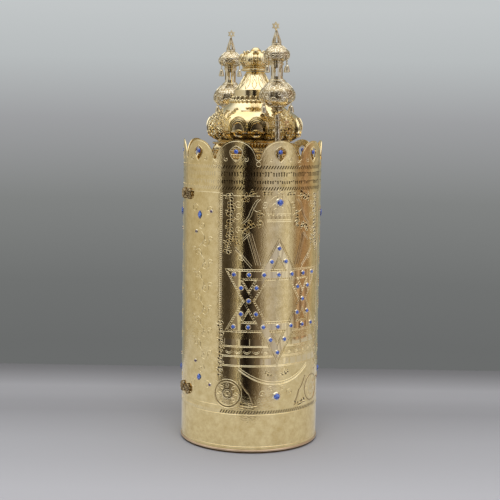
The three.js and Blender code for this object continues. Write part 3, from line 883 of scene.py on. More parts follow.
addPair("star_stones", stoneMesh(), [paleSmooth, stoneBlue, stonePurple], [])
addPair("crown_gem", largeStoneMesh(stones["crownHeight"]), [paleSmooth, stoneBlue], ["crown_stone"])
addPair("low_gem", largeStoneMesh(stones["lowHeight"]), [paleSmooth, stoneBlue], ["low_stone"])
crestNodes = ["crest_stone_" + str(i + 1) for i in range(caseSheet["lobes"])]
addPair("crest_stones", crestStoneMesh(), [giltRidge, stoneBlue], crestNodes)
print("stones set")


# Clasps: openwork rings with a six-pointed star, two on each side of the seam
clasps = {"heights": [0.507, 0.112], "off": 0.014, "ring": 0.0099, "eye": 0.0026, "star": 0.0086, "lift": 0.0038,
          "wire": (0.0019, 0.0012)}


def claspMesh(x):
    strokes = []
    posts = bmesh.new()
    for z in clasps["heights"]:
        strokes += [arcStroke(x, z, clasps["ring"], 0, 360, 24), arcStroke(x, z, clasps["eye"], 0, 360, 10)]
        strokes += [arcStroke(x, z, clasps["star"], start, start + 360, 3) for start in (90, 270)]
        for end in (-1, 1):
            addCone(posts, 8, 0.0015, 0.0013, 0.0036, moved(x, z + end * clasps["ring"], 0.0021))
    rings = ridgeMesh(strokes, *clasps["wire"], 0.003, clasps["lift"])
    return moveVerts(joinMeshes("clasps", [rings, meshFrom(posts, "posts", 40)]), wrapOnCase)


for body, off in (("front", clasps["off"]), ("back", -clasps["off"])):
    addPiece(body + "_clasp_rings", claspMesh(-halfArc + off), [bronze], body,
             [body + "_upper_clasp", body + "_lower_clasp"])
print("clasps made")


# Turned pieces
def smoothProfile(points, steps=5):
    # Catmull-Rom through [radius, height] points
    ends = [points[0], *points, points[-1]]
    out = [points[0]]
    for a, b, c, d in zip(ends, ends[1:], ends[2:], ends[3:]):
        for i in range(1, steps + 1):
            t = i / steps
            out.append(tuple(0.5 * (2 * b[k] + (c[k] - a[k]) * t + (2 * a[k] - 5 * b[k] + 4 * c[k] - d[k]) * t * t
                                    + (3 * b[k] - a[k] - 3 * c[k] + d[k]) * t ** 3) for k in (0, 1)))
    return out


def ringProfile(radius, z, size):
    # a half-round moulding on a turned profile
    return arcStroke(radius, z, size, -90, 90, 6)


def spinProfile(profile, steps, arc=2 * math.pi, start=0.0):
    # [radius, height] points in metres turned about Z, from the front's middle
    bm = bmesh.new()
    verts = [bm.verts.new((0, -r, z)) for r, z in profile]
    for a, b in zip(verts, verts[1:]):
        bm.edges.new((a, b))
    bmesh.ops.rotate(bm, verts=verts, cent=(0, 0, 0), matrix=Matrix.Rotation(start, 3, "Z"))
    bmesh.ops.spin(bm, geom=bm.verts[:] + bm.edges[:], cent=(0, 0, 0), axis=(0, 0, 1), dvec=(0, 0, 0),
                   angle=arc, steps=steps, use_merge=arc > 6.28, use_normal_flip=False, use_duplicate=False)
    bmesh.ops.remove_doubles(bm, verts=bm.verts, dist=1e-6)
    bmesh.ops.recalc_face_normals(bm, faces=bm.faces)
    return bm


def inMetres(profile):
    return [(max(r, 0.0) / 1000, z / 1000) for r, z in profile]


def surfaceOf(profile):
    # lengths along a profile, for laying strokes on it
    points = np.array(profile)
    steps = np.hypot(*(points[1:] - points[:-1]).T)
    return points, np.concatenate([[0], np.cumsum(steps)])


def wrappedOn(profile, reference, mesh):
    # flat x is angle times the reference radius, flat y the length along the profile
    points, lengths = surfaceOf(profile)
    slopes = np.gradient(points, lengths, axis=0)

    def wrap(flat):
        radius, height, alongR, alongZ = (np.interp(flat[:, 1], lengths, values) for values in
                                          (points[:, 0], points[:, 1], slopes[:, 0], slopes[:, 1]))
        size = np.hypot(alongR, alongZ)
        radius = radius + flat[:, 2] * alongZ / size
        height = height - flat[:, 2] * alongR / size
        angle = flat[:, 0] / reference
        return np.column_stack([radius * np.sin(angle), -radius * np.cos(angle), height])
    return moveVerts(mesh, wrap)


def laidOnProfile(strokes, size, profile, reference, look, step=0.003):
    return wrappedOn(profile, reference, painted(ridgeMesh(strokes, *size, step), look))


def beadRings(name, *rows):
    # each row: radius, height, count and size
    bm = bmesh.new()
    for radius, z, count, size in rows:
        for i in range(count):
            angle = 2 * math.pi * i / count
            bmesh.ops.create_icosphere(bm, subdivisions=1, radius=size,
                                       matrix=moved(radius * math.sin(angle), -radius * math.cos(angle), z))
    return painted(meshFrom(bm, name, 60), 1)


# Foot rim: a rounded band over a set-back foot, in two halves; the foot is dark as painted shadow where the rim meets
# the table
rim = {"low": rimBox[0].z, "high": rimBox[1].z, "outer": rimBox[1].x - 0.0002, "foot": 0.0018, "steps": 48}


def rimMesh():
    half = (rim["high"] - rim["low"] - rim["foot"]) / 2
    inner = caseRadius - sheetWall
    step = rim["low"] + rim["foot"]
    foot = inner + 0.0006
    profile = [(inner, rim["low"]), (foot, rim["low"]), (foot, step),
               *arcStroke(rim["outer"] - half, rim["high"] - half, half, -90, 90, 10),
               (inner, rim["high"]), (inner, rim["low"])]
    gap = seamGap / caseRadius
    bm = spinProfile(profile, rim["steps"], math.pi - 2 * gap, -math.pi / 2 + gap)
    bmesh.ops.holes_fill(bm, edges=[e for e in bm.edges if e.is_boundary], sides=0)
    bmesh.ops.recalc_face_normals(bm, faces=bm.faces)
    band = meshFrom(bm, "foot_rim", 40)
    # painted shadow: the set-back foot's faces take the near-black look
    for face in band.polygons:
        if face.center.z < step:
            face.material_index = 1
    return band


addPair("foot_band", rimMesh(), [rimMetal, giltPaintedShade], ["foot_rim"])


# Crown: heights in millimetres above its flange
crown = {
    "steps": 160,
    "wall": 0.0016,
    "repeats": 4,
    "pairTurn": math.radians(-31.5),  # the middle of the first pair of arches
    "reference": 0.094,
    "archFoot": (0.0185, 75),  # off the pair's middle, and height
    "arches": [(0.0200, 0.0300), (0.0174, 0.0256), (0.0148, 0.0212), (0.0122, 0.0168)],
    "grooves": [(0.0187, 0.0278), (0.0161, 0.0234), (0.0135, 0.0190)],
    "eyes": (0.0175, 70, [0.0096, 0.0066]),
    "scrolls": ((0.0095, 70, 0.0085), (0.0205, 66, 0.0060), (0.0150, 86, 0.0088), (0.0070, 103, 0.0070)),
    "stems": [[(0.0250, 62), (0.0240, 84), (0.0170, 100), (0.0120, 116)],
              [(0.0300, 97), (0.0320, 108), (0.0380, 120)]],
    "stemWidths": [0.0060, 0.0055],
    "stemStep": 0.0052,
    "grounds": ((0.0175, 70, 0.62), (0.0365, 70, 0.50)),  # off the middle, height and squash
    "groundRadius": 0.0190,
    "neckReference": 0.030,
    "neckLeaves": 14,
}
drumProfile = [
    (97, 0), (97, 2.4), (95.6, 3.2), (94, 6), (91.8, 11.4), *ringProfile(90.6, 14, 1.8), (89.6, 17),
    (88.8, 21), *ringProfile(86.4, 23.6, 1.9), (85.4, 26), *ringProfile(84.2, 28.4, 1.6), (84.4, 31),
    (83.6, 34), *ringProfile(82.0, 36.4, 1.4), (81.0, 39), (79.8, 42.4), (76.4, 46), (73.0, 49.8),
    *ringProfile(72.2, 52, 1.5),
]
bulbProfile = smoothProfile([(73, 54), (82.5, 59.5), (92.5, 68), (96, 80), (95.5, 92), (90.5, 102), (78.5, 112),
                             (63, 122), (50.5, 132)], 7)
coneProfile = smoothProfile([(40.4, 157.4), (35.4, 164), (30.2, 172), (25.4, 180), (21.6, 187), (19, 193.6)], 4)
neckProfile = [
    *ringProfile(49.0, 134, 1.8), (48.4, 137), (46.5, 139.6), (42.6, 144), (43, 146), (43, 156.4), (42, 157.2),
    *coneProfile, (0, 194),
]
crownPitch = 2 * math.pi * crown["reference"] / crown["repeats"]
crownMiddles = [(crown["pairTurn"] + 2 * math.pi * i / crown["repeats"]) * crown["reference"]
                for i in range(crown["repeats"])]


def archStrokes(x, at, sizes):
    off, height = crown["archFoot"]
    return [arcStroke(x + side * off, at(height), wide, 0, 180, 22, tall / wide)
            for side in (-1, 1) for wide, tall in sizes]


def crownStrokes(at):
    # pairs of concentric arches, flutes beside them, and scrolled leafwork between the pairs
    strokes = []

    def addStem(path, wide):
        strokes.extend(leafyStem([(x, at(height)) for x, height in path], wide, crown["stemStep"])[0])

    for x in crownMiddles:
        strokes += archStrokes(x, at, crown["arches"])
        off, height, reaches = crown["eyes"]
        for side in (-1, 1):
            strokes += [arcStroke(x + side * off, at(height), reach, 0, 360, 18, 0.8) for reach in reaches]
            strokes += [[(x + side * (0.0365 + k * 0.0030), at(top)) for top in (60, 96 + 3 * k)] for k in range(4)]
        x += crownPitch / 2
        for side in (-1, 1):
            strokes += [scrollStroke(x + side * off, at(height), reach, 0.001, 1.5, 28, side, 90)
                        for off, height, reach in crown["scrolls"]]
            for path, wide in zip(crown["stems"], crown["stemWidths"]):
                addStem([(x + side * off, height) for off, height in path], wide)
        addStem([(x, 60), (x, 112)], crown["stemWidths"][1])
    return strokes


def neckStrokes(top):
    # narrow leaves all round the cone, and a line above them
    turn = 2 * math.pi * crown["neckReference"]
    leaves = [leafStroke(turn * i / crown["neckLeaves"], 0.0015, top * share, math.pi / 2, 0.15)
              for i in range(crown["neckLeaves"]) for share in (0.84, 0.58)]
    return leaves + [[(0, top * 0.9), (turn, top * 0.9)]]


def flutes(profile, count, reference):
    # upright ribs all round a cove
    surface = inMetres(profile)
    top = surfaceOf(surface)[1][-1] - 0.0005
    ribs = [[(2 * math.pi * reference * i / count, z) for z in (0.0005, top)] for i in range(count)]
    return laidOnProfile(ribs, (0.0024, 0.0013), surface, reference, 1)


def crownBody():
    body = meshFrom(spinProfile(inMetres(drumProfile + bulbProfile + neckProfile), crown["steps"]), "crown_body", 38)
    spread = 2 * math.pi / crown["repeats"]
    # painted shade: dark faces, some picked at random, at the arches' feet, a dark band under the bulb's belly, which
    # mirrors the dark case below, and a dark ground behind the scallop row; the fluted cove takes the darker brown gold
    # as painted shade and painted warm reflection
    for face in body.polygons:
        middle = face.center.z * 1000
        radius = math.hypot(face.center.x, face.center.y) * 1000
        turn = (math.atan2(face.center.x, -face.center.y) - crown["pairTurn"]) % spread
        if 58 < middle < 84 and abs(turn - spread / 2) < 0.42 and rng.random() < 0.55:
            face.material_index = 2
        if 59 < middle < 72 or 136.6 < middle < 144.5:
            face.material_index = 2
        elif 38 < middle < 50 and radius > 70:
            face.material_index = 3
    return thickened(body, crown["wall"])


def crownShadeDiscs(at):
    # painted shade: dark discs behind the arches' feet
    bm = bmesh.new()
    for x in crownMiddles:
        for side in (-1, 1):
            for off, middle, squash in crown["grounds"]:
                place = moved(x + side * off, at(middle), 0.0002) @ Matrix.Diagonal((1, squash, 1, 1))
                bmesh.ops.create_circle(bm, cap_ends=True, segments=32, radius=crown["groundRadius"], matrix=place)
    cutAcross(bm, [at(57)], 1, clear_inner=True)
    cutAcross(bm, [at(57) + i * 0.003 for i in range(1, 16)], 1)
    bmesh.ops.triangulate(bm, faces=bm.faces)
    return painted(meshFrom(bm, "crown_shade_discs", 80), 2)


def crownMesh():
    body = crownBody()
    surface, cone = inMetres(bulbProfile), inMetres(coneProfile)
    points, lengths = surfaceOf(surface)
    at = lambda height: float(np.interp(height / 1000, points[:, 1], lengths))
    # painted shade: dark strokes in the grooves between the arches' ridges
    grooves = [stroke for x in crownMiddles for stroke in archStrokes(x, at, crown["grooves"])]
    laid = [laidOnProfile(crownStrokes(at), (0.0014, 0.0014), surface, crown["reference"], 1, 0.004),
            wrappedOn(surface, crown["reference"], crownShadeDiscs(at)),
            laidOnProfile(grooves, (0.0014, 0.0004), surface, crown["reference"], 2, 0.004),
            laidOnProfile(neckStrokes(float(surfaceOf(cone)[1][-1])), (0.0012, 0.0007), cone,
                          crown["neckReference"], 1)]
    beads = beadRings("crown_beads", (0.0832, 0.0505, 84, 0.0021), (0.0905, 0.0268, 96, 0.0018),
                      (0.0496, 0.1352, 34, 0.0034), (0.0425, 0.1440, 40, 0.0017))
    drops = bmesh.new()
    for i in range(26):
        place = (Matrix.Rotation(2 * math.pi * (i + 0.5) / 26, 4, "Z") @ moved(0, -0.0462, 0.1404)
                 @ Matrix.Diagonal((0.8, 0.6, 1.4, 1)))
        bmesh.ops.create_icosphere(drops, subdivisions=2, radius=0.0030, matrix=place)
    drops = painted(meshFrom(drops, "crown_drops", 60), 1)
    ribs = flutes([(81.4, 39), (79.8, 42.4), (76.4, 46), (73.4, 49.4)], 84, 0.078)
    return joinMeshes("crown", [body, *laid, beads, drops, ribs])


def placed(mesh, matrix):
    mesh.transform(matrix)
    return mesh


crownLook = [crownGold, giltRidge, giltPaintedShade, giltShade]
crownPlace = moved(crownCentre.x, crownCentre.y, crownBox[0].z)
addPiece("crown_body", placed(crownMesh(), crownPlace), crownLook, "front", ["crown"])
print("crown made")


# Coronet: heights in millimetres above its foot
coronet = {
    "leaves": 8,
    "rows": [  # turn, distance out, height, lean and size of the leaves
        (0, 0.0318, 0.0268, -0.42, (0.0088, 0.0026, 0.0098)), (0.5, 0.0290, 0.0262, -0.30, (0.0062, 0.0030, 0.0070)),
        (0.5, 0.0215, 0.0355, 0.30, (0.0064, 0.0026, 0.0062))],
}


def coronetMesh():
    cove = [(24.2, 8), *smoothProfile([(25, 9.4), (27.4, 12.6), (31, 16), (33, 19)], 3)]
    outline = [(0, 0), (27, 0.6), *ringProfile(26.6, 3.2, 2.4), (26.4, 6), (24.0, 7.6), *cove, (33, 20), (31, 21),
               (27, 22), *smoothProfile([(26, 22.6), (21, 30), (15.6, 37), (11, 41)], 3), *ringProfile(9.0, 42.4, 1.6),
               *smoothProfile([(8.4, 44), (6.6, 46.6), (3.6, 48.0), (0, 48.4)], 3)]
    body = meshFrom(spinProfile(inMetres(outline), 48), "coronet_body", 40)
    leaves = bmesh.new()
    for i in range(coronet["leaves"]):
        for turn, out, z, lean, size in coronet["rows"]:
            place = (Matrix.Rotation(2 * math.pi * (i + turn) / coronet["leaves"], 4, "Z") @ moved(0, -out, z)
                     @ Matrix.Rotation(lean, 4, "X") @ Matrix.Diagonal((*size, 1)))
            bmesh.ops.create_uvsphere(leaves, u_segments=14, v_segments=10, radius=1, matrix=place)
            for side in (-0.45, 0, 0.45):
                rib = place @ moved(side, -0.86, 0.1) @ Matrix.Diagonal((0.10, 0.3, 0.78, 1))
                bmesh.ops.create_icosphere(leaves, subdivisions=1, radius=1, matrix=rib)
    leaves = painted(meshFrom(leaves, "coronet_leaves", 60), 1)
    beads = beadRings("coronet_beads", (0.0318, 0.0215, 32, 0.0022), (0.0262, 0.0090, 36, 0.0014),
                      (0.0200, 0.0330, 18, 0.0022))
    return joinMeshes("coronet", [body, leaves, beads, flutes(cove, 40, 0.029)])


coronetPlace = moved(crownCentre.x, crownCentre.y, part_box("crown_coronet")[0].z)
addPiece("coronet", placed(coronetMesh(), coronetPlace), crownLook, "front", ["crown_coronet"])


# Finials: heights in millimetres above the foot
finial = {
    "circle": 0.117,
    "side": 0.0045,
    "lean": math.radians(1.8),
    "stem": 0.0086,
    "steps": 72,
    "neck": (175.2, 202.6, 11.5),  # foot, top and radius
    "windows": 6,
    "neckWall": 0.0014,
    "bars": 6,
    "starOuter": 0.0086,
    "starInner": 0.0052,
    "starHole": 0.0022,
    "starHeight": 0.2764,
    "starHalf": 0.0013,
    "joints": ((17.6, 124.1), (16.4, 171.8), (13.4, 175.2), (13.2, 202.8), (12.4, 208.2), (9.4, 240.8), (8.4, 243.6)),
}
stemProfile = [(0, 0), (8.6, 0), (8.6, 39), (7.6, 41), *smoothProfile([(6.4, 44), (5.4, 70), (4.8, 94)], 4),
               *ringProfile(4.8, 98, 1.6), (4.9, 106), *smoothProfile([(5.4, 108), (8, 111.4), (11.4, 114)], 3),
               *ringProfile(10.6, 116.6, 1.5), (9.8, 119.6), (12, 121.6), (17, 123.2)]
lowerBulb = smoothProfile([(18, 125), (28.5, 131), (34.3, 138), (35.3, 145.5), (33, 154), (26, 163),
                           (17.5, 171)], 7)
belowNeck = [*ringProfile(15.4, 172.6, 1.2), (14, 175)]
aboveNeck = [(13.2, 202.6), *ringProfile(12.6, 204.4, 1.4), (11.8, 207)]
upperBulb = smoothProfile([(13, 209.5), (21.4, 212.8), (25.3, 219.5), (23.8, 227.5), (15.5, 236), (9.6, 240.4)], 6)
spireFoot = [*ringProfile(8.6, 241.6, 1.1), (8.6, 243.6)]
spireBar = smoothProfile([(8.2, 243.4), (7.0, 248.6), (4.6, 256), (2.2, 262.6), (0.9, 267.4)], 4)


def bulbStrokes(length, reference, repeats):
    # overlapping arches, scrolls and upright lines, as a chased ground
    strokes = []
    pitch = 2 * math.pi * reference / repeats
    for i in range(repeats):
        x, beside = i * pitch, (i + 0.5) * pitch
        strokes += [arcStroke(x, length * 0.12, pitch * radius, 0, 180, 12, 1.7) for radius in (0.46, 0.33)]
        strokes += [scrollStroke(beside, length * 0.50, pitch * 0.30, 0.0006, 1.4, 22, 1 if i % 2 else -1),
                    arcStroke(x, length * 0.66, pitch * 0.40, 20, 160, 9, 1.1),
                    [(x, length * 0.70), (x, length * 0.94)],
                    [(beside, length * 0.74), (beside, length * 0.94)]]
    return strokes


def neckMesh():
    # a lantern with arched windows between slim posts
    low, high, radius = (length / 1000 for length in finial["neck"])
    columns, rows = finial["windows"] * 8, 14
    bm = bmesh.new()
    addCone(bm, columns, radius, radius, high - low, moved(0, 0, (low + high) / 2), False)
    uprights = [e for e in bm.edges if abs(e.verts[0].co.z - e.verts[1].co.z) > 0.001]
    bmesh.ops.subdivide_edges(bm, edges=uprights, cuts=rows - 1, use_grid_fill=True)
    gone = []
    for face in bm.faces:
        middle = face.calc_center_median()
        off = abs(math.atan2(middle.x, -middle.y) / (2 * math.pi) * finial["windows"] % 1 - 0.5)
        if off < 0.20 and 0.18 < (middle.z - low) / (high - low) < 0.84 - 0.9 * off ** 1.6:
            gone.append(face)
    bmesh.ops.delete(bm, geom=gone, context="FACES")
    return thickened(meshFrom(bm, "neck", 40), finial["neckWall"])


def spireMesh():
    # bent bars that meet under the star
    turns = [2 * math.pi * i / finial["bars"] for i in range(finial["bars"])]
    return tubeMesh([[(r * math.sin(turn), -r * math.cos(turn), z) for r, z in inMetres(spireBar)] for turn in turns],
                    0.0016, 2)


def topStarMesh():
    # a six-pointed star with an open ring in its middle
    bm = bmesh.new()
    centre = finial["starHeight"]
    outer, inner = [], []
    for i in range(12):
        reach = finial["starInner"] if i % 2 else finial["starOuter"]
        for ring, radius in ((outer, reach), (inner, finial["starHole"])):
            x, z = polar(0, centre, radius, 90 + i * 30)
            ring.append(bm.verts.new((x, finial["starHalf"], z)))
    loops = [bm.edges.new((a, b)) for ring in (outer, inner) for a, b in zip(ring, closed(ring)[1:])]
    faces = bmesh.ops.bridge_loops(bm, edges=loops)["faces"]
    bmesh.ops.solidify(bm, geom=faces, thickness=2 * finial["starHalf"])
    bmesh.ops.recalc_face_normals(bm, faces=bm.faces)
    edges = [e for e in bm.edges if len(e.link_faces) == 2 and e.calc_face_angle(0) > 1]
    bmesh.ops.bevel(bm, geom=edges, affect="EDGES", offset=0.0003, segments=2, profile=0.5, material=-1)
    bmesh.ops.create_uvsphere(bm, u_segments=12, v_segments=8, radius=0.0016, matrix=moved(0, 0, centre - 0.0078))
    return meshFrom(bm, "top_star", 30)


def finialMesh():
    turned = [(stemProfile, 0), (lowerBulb, 0), (belowNeck, 1), (aboveNeck, 1), (upperBulb, 0), (spireFoot, 1)]
    parts = [painted(meshFrom(spinProfile(inMetres(profile), finial["steps"]), "turned", 38), look)
             for profile, look in turned]
    joints = bmesh.new()
    for radius, z in inMetres(finial["joints"]):
        addCone(joints, finial["steps"], radius, radius, 0.0022, moved(0, 0, z))
    parts.append(painted(meshFrom(joints, "joints", 38), 1))
    for profile, reference, repeats in ((lowerBulb, 0.0345, 10), (upperBulb, 0.0250, 9)):
        surface = inMetres(profile)
        strokes = bulbStrokes(float(surfaceOf(surface)[1][-1]), reference, repeats)
        parts.append(laidOnProfile(strokes, (0.0010, 0.0005), surface, reference, 1))
    parts += [painted(neckMesh(), 1), painted(spireMesh(), 1), painted(topStarMesh(), 2)]
    parts.append(beadRings("finial_beads", (0.0178, 0.1246, 26, 0.0014), (0.0128, 0.2090, 20, 0.0012)))
    return joinMeshes("finial", parts)


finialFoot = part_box("back_finial")[0].z
finialShape = finialMesh()
leanShift = finial["stem"] * math.sin(finial["lean"])
frontPlace = (moved(finial["side"], -finial["circle"], finialFoot + leanShift)
              @ Matrix.Rotation(-finial["lean"], 4, "Y"))
backPlace = Matrix.Rotation(math.pi, 4, "Z") @ moved(finial["side"], -finial["circle"], finialFoot)
finialLook = [paleGold, paleSmooth, giltRidge]
addPiece("front_finial_chased", placed(finialShape.copy(), frontPlace), finialLook, "front", ["front_finial"])
addPiece("back_finial_chased", placed(finialShape, backPlace), finialLook, "back", ["back_finial"])


# Bells: one flared cup on a fine chain at each bell of the frame
bell = {"height": 0.0125, "wall": 0.0007, "link": 0.0015, "wire": 0.00035, "steps": 20}
bellCup = smoothProfile([(0.8, 12.4), (2.4, 11.7), (3.4, 9.6), (4.1, 6.4), (4.8, 3), (5.68, 0)], 3)


def islandOf(start):
    # every vertex joined to the given ones
    found, queue = set(start), list(start)
    while queue:
        vert = queue.pop()
        near = {edge.other_vert(vert) for edge in vert.link_edges} - found
        found |= near
        queue += near
    return list(found)


def bellMesh(node):
    low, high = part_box(node)
    centre = (low + high) / 2
    bm = bmesh.new()
    bm.from_mesh(thickened(meshFrom(spinProfile(inMetres(bellCup), bell["steps"]), "cup", 40), bell["wall"]))
    bmesh.ops.create_uvsphere(bm, u_segments=8, v_segments=6, radius=0.0014, matrix=moved(0, 0, 0.0012))
    bmesh.ops.create_uvsphere(bm, u_segments=10, v_segments=6, radius=0.0011, matrix=moved(0, 0, 0.0126))
    foot = bell["height"] + 0.001
    reach = high.z - low.z - foot
    count = max(2, round(reach / (bell["link"] * 1.7)))
    quarter = Matrix.Rotation(math.pi / 2, 4, "X")
    for i in range(count):
        turn = Matrix.Rotation(math.pi / 2 * (i % 2), 4, "Z") @ quarter
        place = moved(0, 0, foot + reach * (i + 0.5) / count) @ turn @ Matrix.Diagonal((0.62, 1.2, 1, 1))
        ring = bmesh.ops.create_circle(bm, cap_ends=False, segments=5, radius=bell["wire"],
                                       matrix=moved(bell["link"], 0, 0) @ quarter)["verts"]
        edges = list({e for v in ring for e in v.link_edges})
        spun = bmesh.ops.spin(bm, geom=ring + edges, cent=(0, 0, 0), axis=(0, 0, 1), dvec=(0, 0, 0),
                              angle=2 * math.pi, steps=8, use_merge=True, use_normal_flip=False, use_duplicate=False)
        ends = {g for g in spun["geom_last"] if isinstance(g, bmesh.types.BMVert)} | set(ring)
        bmesh.ops.transform(bm, matrix=place, verts=islandOf(ends))
    bmesh.ops.translate(bm, verts=bm.verts, vec=(centre.x, centre.y, low.z))
    return meshFrom(bm, "bell", 45)


for name in [name for name in nodes if "_bell_" in name]:
    addPiece(name + "_cast", bellMesh(name), [paleSmooth], nodes[name]["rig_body"], [name])
print("finials and bells made")

# Pieces that keep the frame's own mesh
plain = {"floor": wood, "top_plate": gilt, "hinge": giltPolish, "lock_plate": giltPolish}
for name in nodes:
    for word, material in plain.items():
        if word in name:
            nodes[name].data.materials.clear()
            nodes[name].data.materials.append(material)
print("frame pieces dressed")

# Camera at the photograph's place
camera = {
    "place": Vector((-0.8688, -2.0647, 0.6494)),
    "turn": math.radians(22.76),
    "down": 0.1161,
    "roll": 0.0155,
    "lens": 78.94,
}
ahead = Vector((math.sin(camera["turn"]), math.cos(camera["turn"]), 0))
forward = ahead * math.cos(camera["down"]) - Vector((0, 0, math.sin(camera["down"])))
right = Vector((ahead.y, -ahead.x, 0))
upward = right.cross(forward)
imageRight = right * math.cos(camera["roll"]) + upward * math.sin(camera["roll"])
imageUp = upward * math.cos(camera["roll"]) - right * math.sin(camera["roll"])
cameraData = bpy.data.cameras.new("camera")
cameraData.lens = camera["lens"]
cameraData.sensor_width = 36
cameraData.clip_start = 0.05
cameraData.clip_end = 60
cameraObject = objectFrom("camera", cameraData)
axes = Matrix((imageRight, imageUp, -forward)).transposed().to_4x4()
cameraObject.matrix_world = Matrix.Translation(camera["place"]) @ axes
bpy.context.scene.camera = cameraObject

# Stage: a pale table top that ends a little way before and behind the case
stage = {
    "front": 0.47,  # from the case's axis towards the camera
    "back": 0.63,
    "halfWidth": 1.25,
    # painted light on the paper that the camera sees: depth from front to back, and brightness
    "paintedLight": [(0.10, 0.373), (0.26, 0.334), (0.385, 0.310), (0.524, 0.261), (0.585, 0.238), (0.651, 0.247),
               (0.718, 0.274), (0.79, 0.280), (0.866, 0.214), (0.948, 0.147), (1.0, 0.118)],
    "tint": (0.985, 0.99, 1.06),
    "mirrored": (0.45, 0.45, 0.465),
}


def seenByCamera(tree):
    return addNode(tree, "LightPath").outputs["Is Camera Ray"]


def paperTop():
    # paper, with painted light: paler towards the camera, darker away from it, lighter again behind the case where a
    # soft fold would catch the light, and paler still in the metal's reflections
    material, tree, shader, coords = newMaterial("pale_paper")
    depth = rangeOn(tree, dotOn(tree, coords, ahead), -stage["front"], stage["back"])
    shown = rampOn(tree, depth, [(at, tuple(level * part for part in stage["tint"])) for at, level in stage["paintedLight"]])
    feed(tree, shader, Base_Color=mixOn(tree, seenByCamera(tree), (*stage["mirrored"], 1), shown), Roughness=0.8)
    return material


def stageMesh():
    bm = bmesh.new()
    wide, low, high = stage["halfWidth"], -stage["front"], stage["back"]
    bm.faces.new([bm.verts.new((x, y, 0)) for x, y in ((-wide, low), (wide, low), (wide, high), (-wide, high))])
    return placed(meshFrom(bm, "stage", 60), Matrix.Rotation(-camera["turn"], 4, "Z"))


tableTop = objectFrom("stage_floor", stageMesh(), [paperTop()])


# Light: a soft room of pale boards and dark gaps, brightest at the left, with a lamp overhead
room = {  # degrees from the camera's side, negative to its left: light there
    "bands": [
        (-180, (0.30, 0.31, 0.26)), (-150, (0.30, 0.30, 0.27)), (-138, (0.43, 0.40, 0.33)), (-100, (0.53, 0.50, 0.44)),
        (-70, (0.58, 0.56, 0.53)), (-56, (0.62, 0.61, 0.62)), (-53, (0.35, 0.33, 0.31)), (-50, (0.08, 0.07, 0.06)),
        (-41, (0.055, 0.046, 0.04)), (-31, (0.07, 0.06, 0.055)), (-27, (0.26, 0.23, 0.20)), (-20.5, (0.28, 0.25, 0.22)),
        (-19, (0.70, 0.68, 0.60)), (-17, (0.70, 0.68, 0.60)), (-15.5, (0.045, 0.035, 0.03)),
        (-8, (0.010, 0.008, 0.008)),
        (-3, (0.008, 0.006, 0.007)), (3, (0.045, 0.037, 0.032)), (9, (0.12, 0.098, 0.085)), (17, (0.19, 0.155, 0.13)),
        (21, (0.46, 0.44, 0.46)), (34, (0.54, 0.53, 0.60)), (45, (0.42, 0.42, 0.50)), (55, (0.64, 0.63, 0.65)),
        (66, (0.62, 0.61, 0.62)), (72, (0.45, 0.43, 0.42)), (80, (0.34, 0.26, 0.20)), (100, (0.34, 0.23, 0.175)),
        (115, (0.48, 0.39, 0.30)), (125, (0.40, 0.37, 0.31)), (160, (0.30, 0.31, 0.27)), (180, (0.30, 0.31, 0.26)),
    ],
    "streakScale": 9.0,
    "streakFade": (-0.1, 1.2),  # radians: streaks only to the right
    "streaks": [(0.36, (0.62, 0.56, 0.52)), (0.50, (1.0, 1.0, 1.0)), (0.66, (1.5, 1.5, 1.45))],
    "overhead": (1.5, 1.5, 1.5, 1),
    "overheadRise": (0.45, 0.92),
    "wall": [  # the grey wall that the camera sees, by elevation in degrees, painted light: darker low down, brighter higher up
        (-11.3, (0.144, 0.149, 0.147)), (-8.2, (0.162, 0.168, 0.165)), (-4, (0.220, 0.227, 0.223)),
        (0.1, (0.342, 0.347, 0.356)), (3.2, (0.479, 0.503, 0.509)), (5.8, (0.541, 0.566, 0.572)),
    ],
}


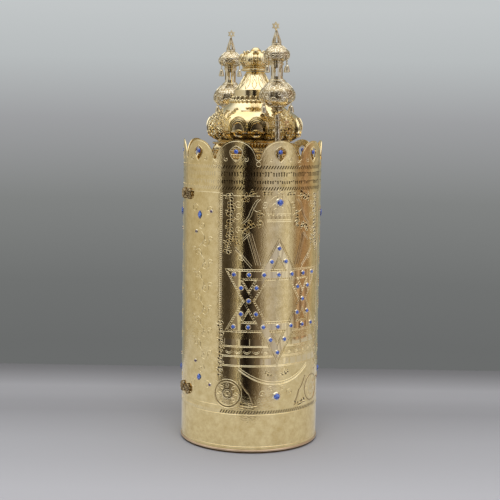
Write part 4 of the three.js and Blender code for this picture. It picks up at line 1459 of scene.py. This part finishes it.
def makeRoom():
    world = bpy.data.worlds.new("room")
    bpy.context.scene.world = world
    world.use_nodes = True
    tree = world.node_tree
    coords = addNode(tree, "TexCoord").outputs["Generated"]
    upwards = dotOn(tree, coords, (0, 0, 1))
    turn = addNode(tree, "Math", operation="ARCTAN2")
    for socket, direction in zip(turn.inputs, (right, -ahead)):
        tree.links.new(dotOn(tree, coords, direction), socket)
    turn = turn.outputs["Value"]
    share = rangeOn(tree, turn, -math.pi, math.pi)
    bands = rampOn(tree, share, [((degrees + 180) / 360, colour) for degrees, colour in room["bands"]])
    noise = addNode(tree, "TexNoise", noise_dimensions="1D", W=turn, Scale=room["streakScale"], Detail=4.0)
    streaks = rampOn(tree, noise.outputs["Fac"], room["streaks"])
    lit = mixOn(tree, rangeOn(tree, turn, *room["streakFade"]), bands, streaks, blend_type="MULTIPLY")
    lamp = rangeOn(tree, upwards, *room["overheadRise"], interpolation_type="SMOOTHSTEP")
    lit = mixOn(tree, lamp, lit, room["overhead"])
    heights = [math.sin(math.radians(degrees)) for degrees, colour in room["wall"]]
    low, high = heights[0], heights[-1]
    stops = [((height - low) / (high - low), colour) for height, (degrees, colour) in zip(heights, room["wall"])]
    wall = rampOn(tree, rangeOn(tree, upwards, low, high), stops)
    feed(tree, tree.nodes["Background"], Color=mixOn(tree, seenByCamera(tree), lit, wall))


makeRoom()

# The lamp overhead
lamp = {"place": Vector((-0.43, -1.02, 1.9)), "target": Vector((0, 0, 0.3)), "size": 1.0, "energy": 20}
lampData = bpy.data.lights.new("overhead", "AREA")
lampData.shape = "RECTANGLE"
lampData.size, lampData.size_y = lamp["size"], lamp["size"]
lampData.energy = lamp["energy"]
lampObject = objectFrom("overhead", lampData)
aim = (lamp["target"] - lamp["place"]).to_track_quat("-Z", "Y").to_matrix().to_4x4()
lampObject.matrix_world = Matrix.Translation(lamp["place"]) @ aim
lampObject.visible_camera = False
lampObject.visible_glossy = False
bpy.context.scene.view_settings.view_transform = "Standard"
print("stage, room and camera ready")
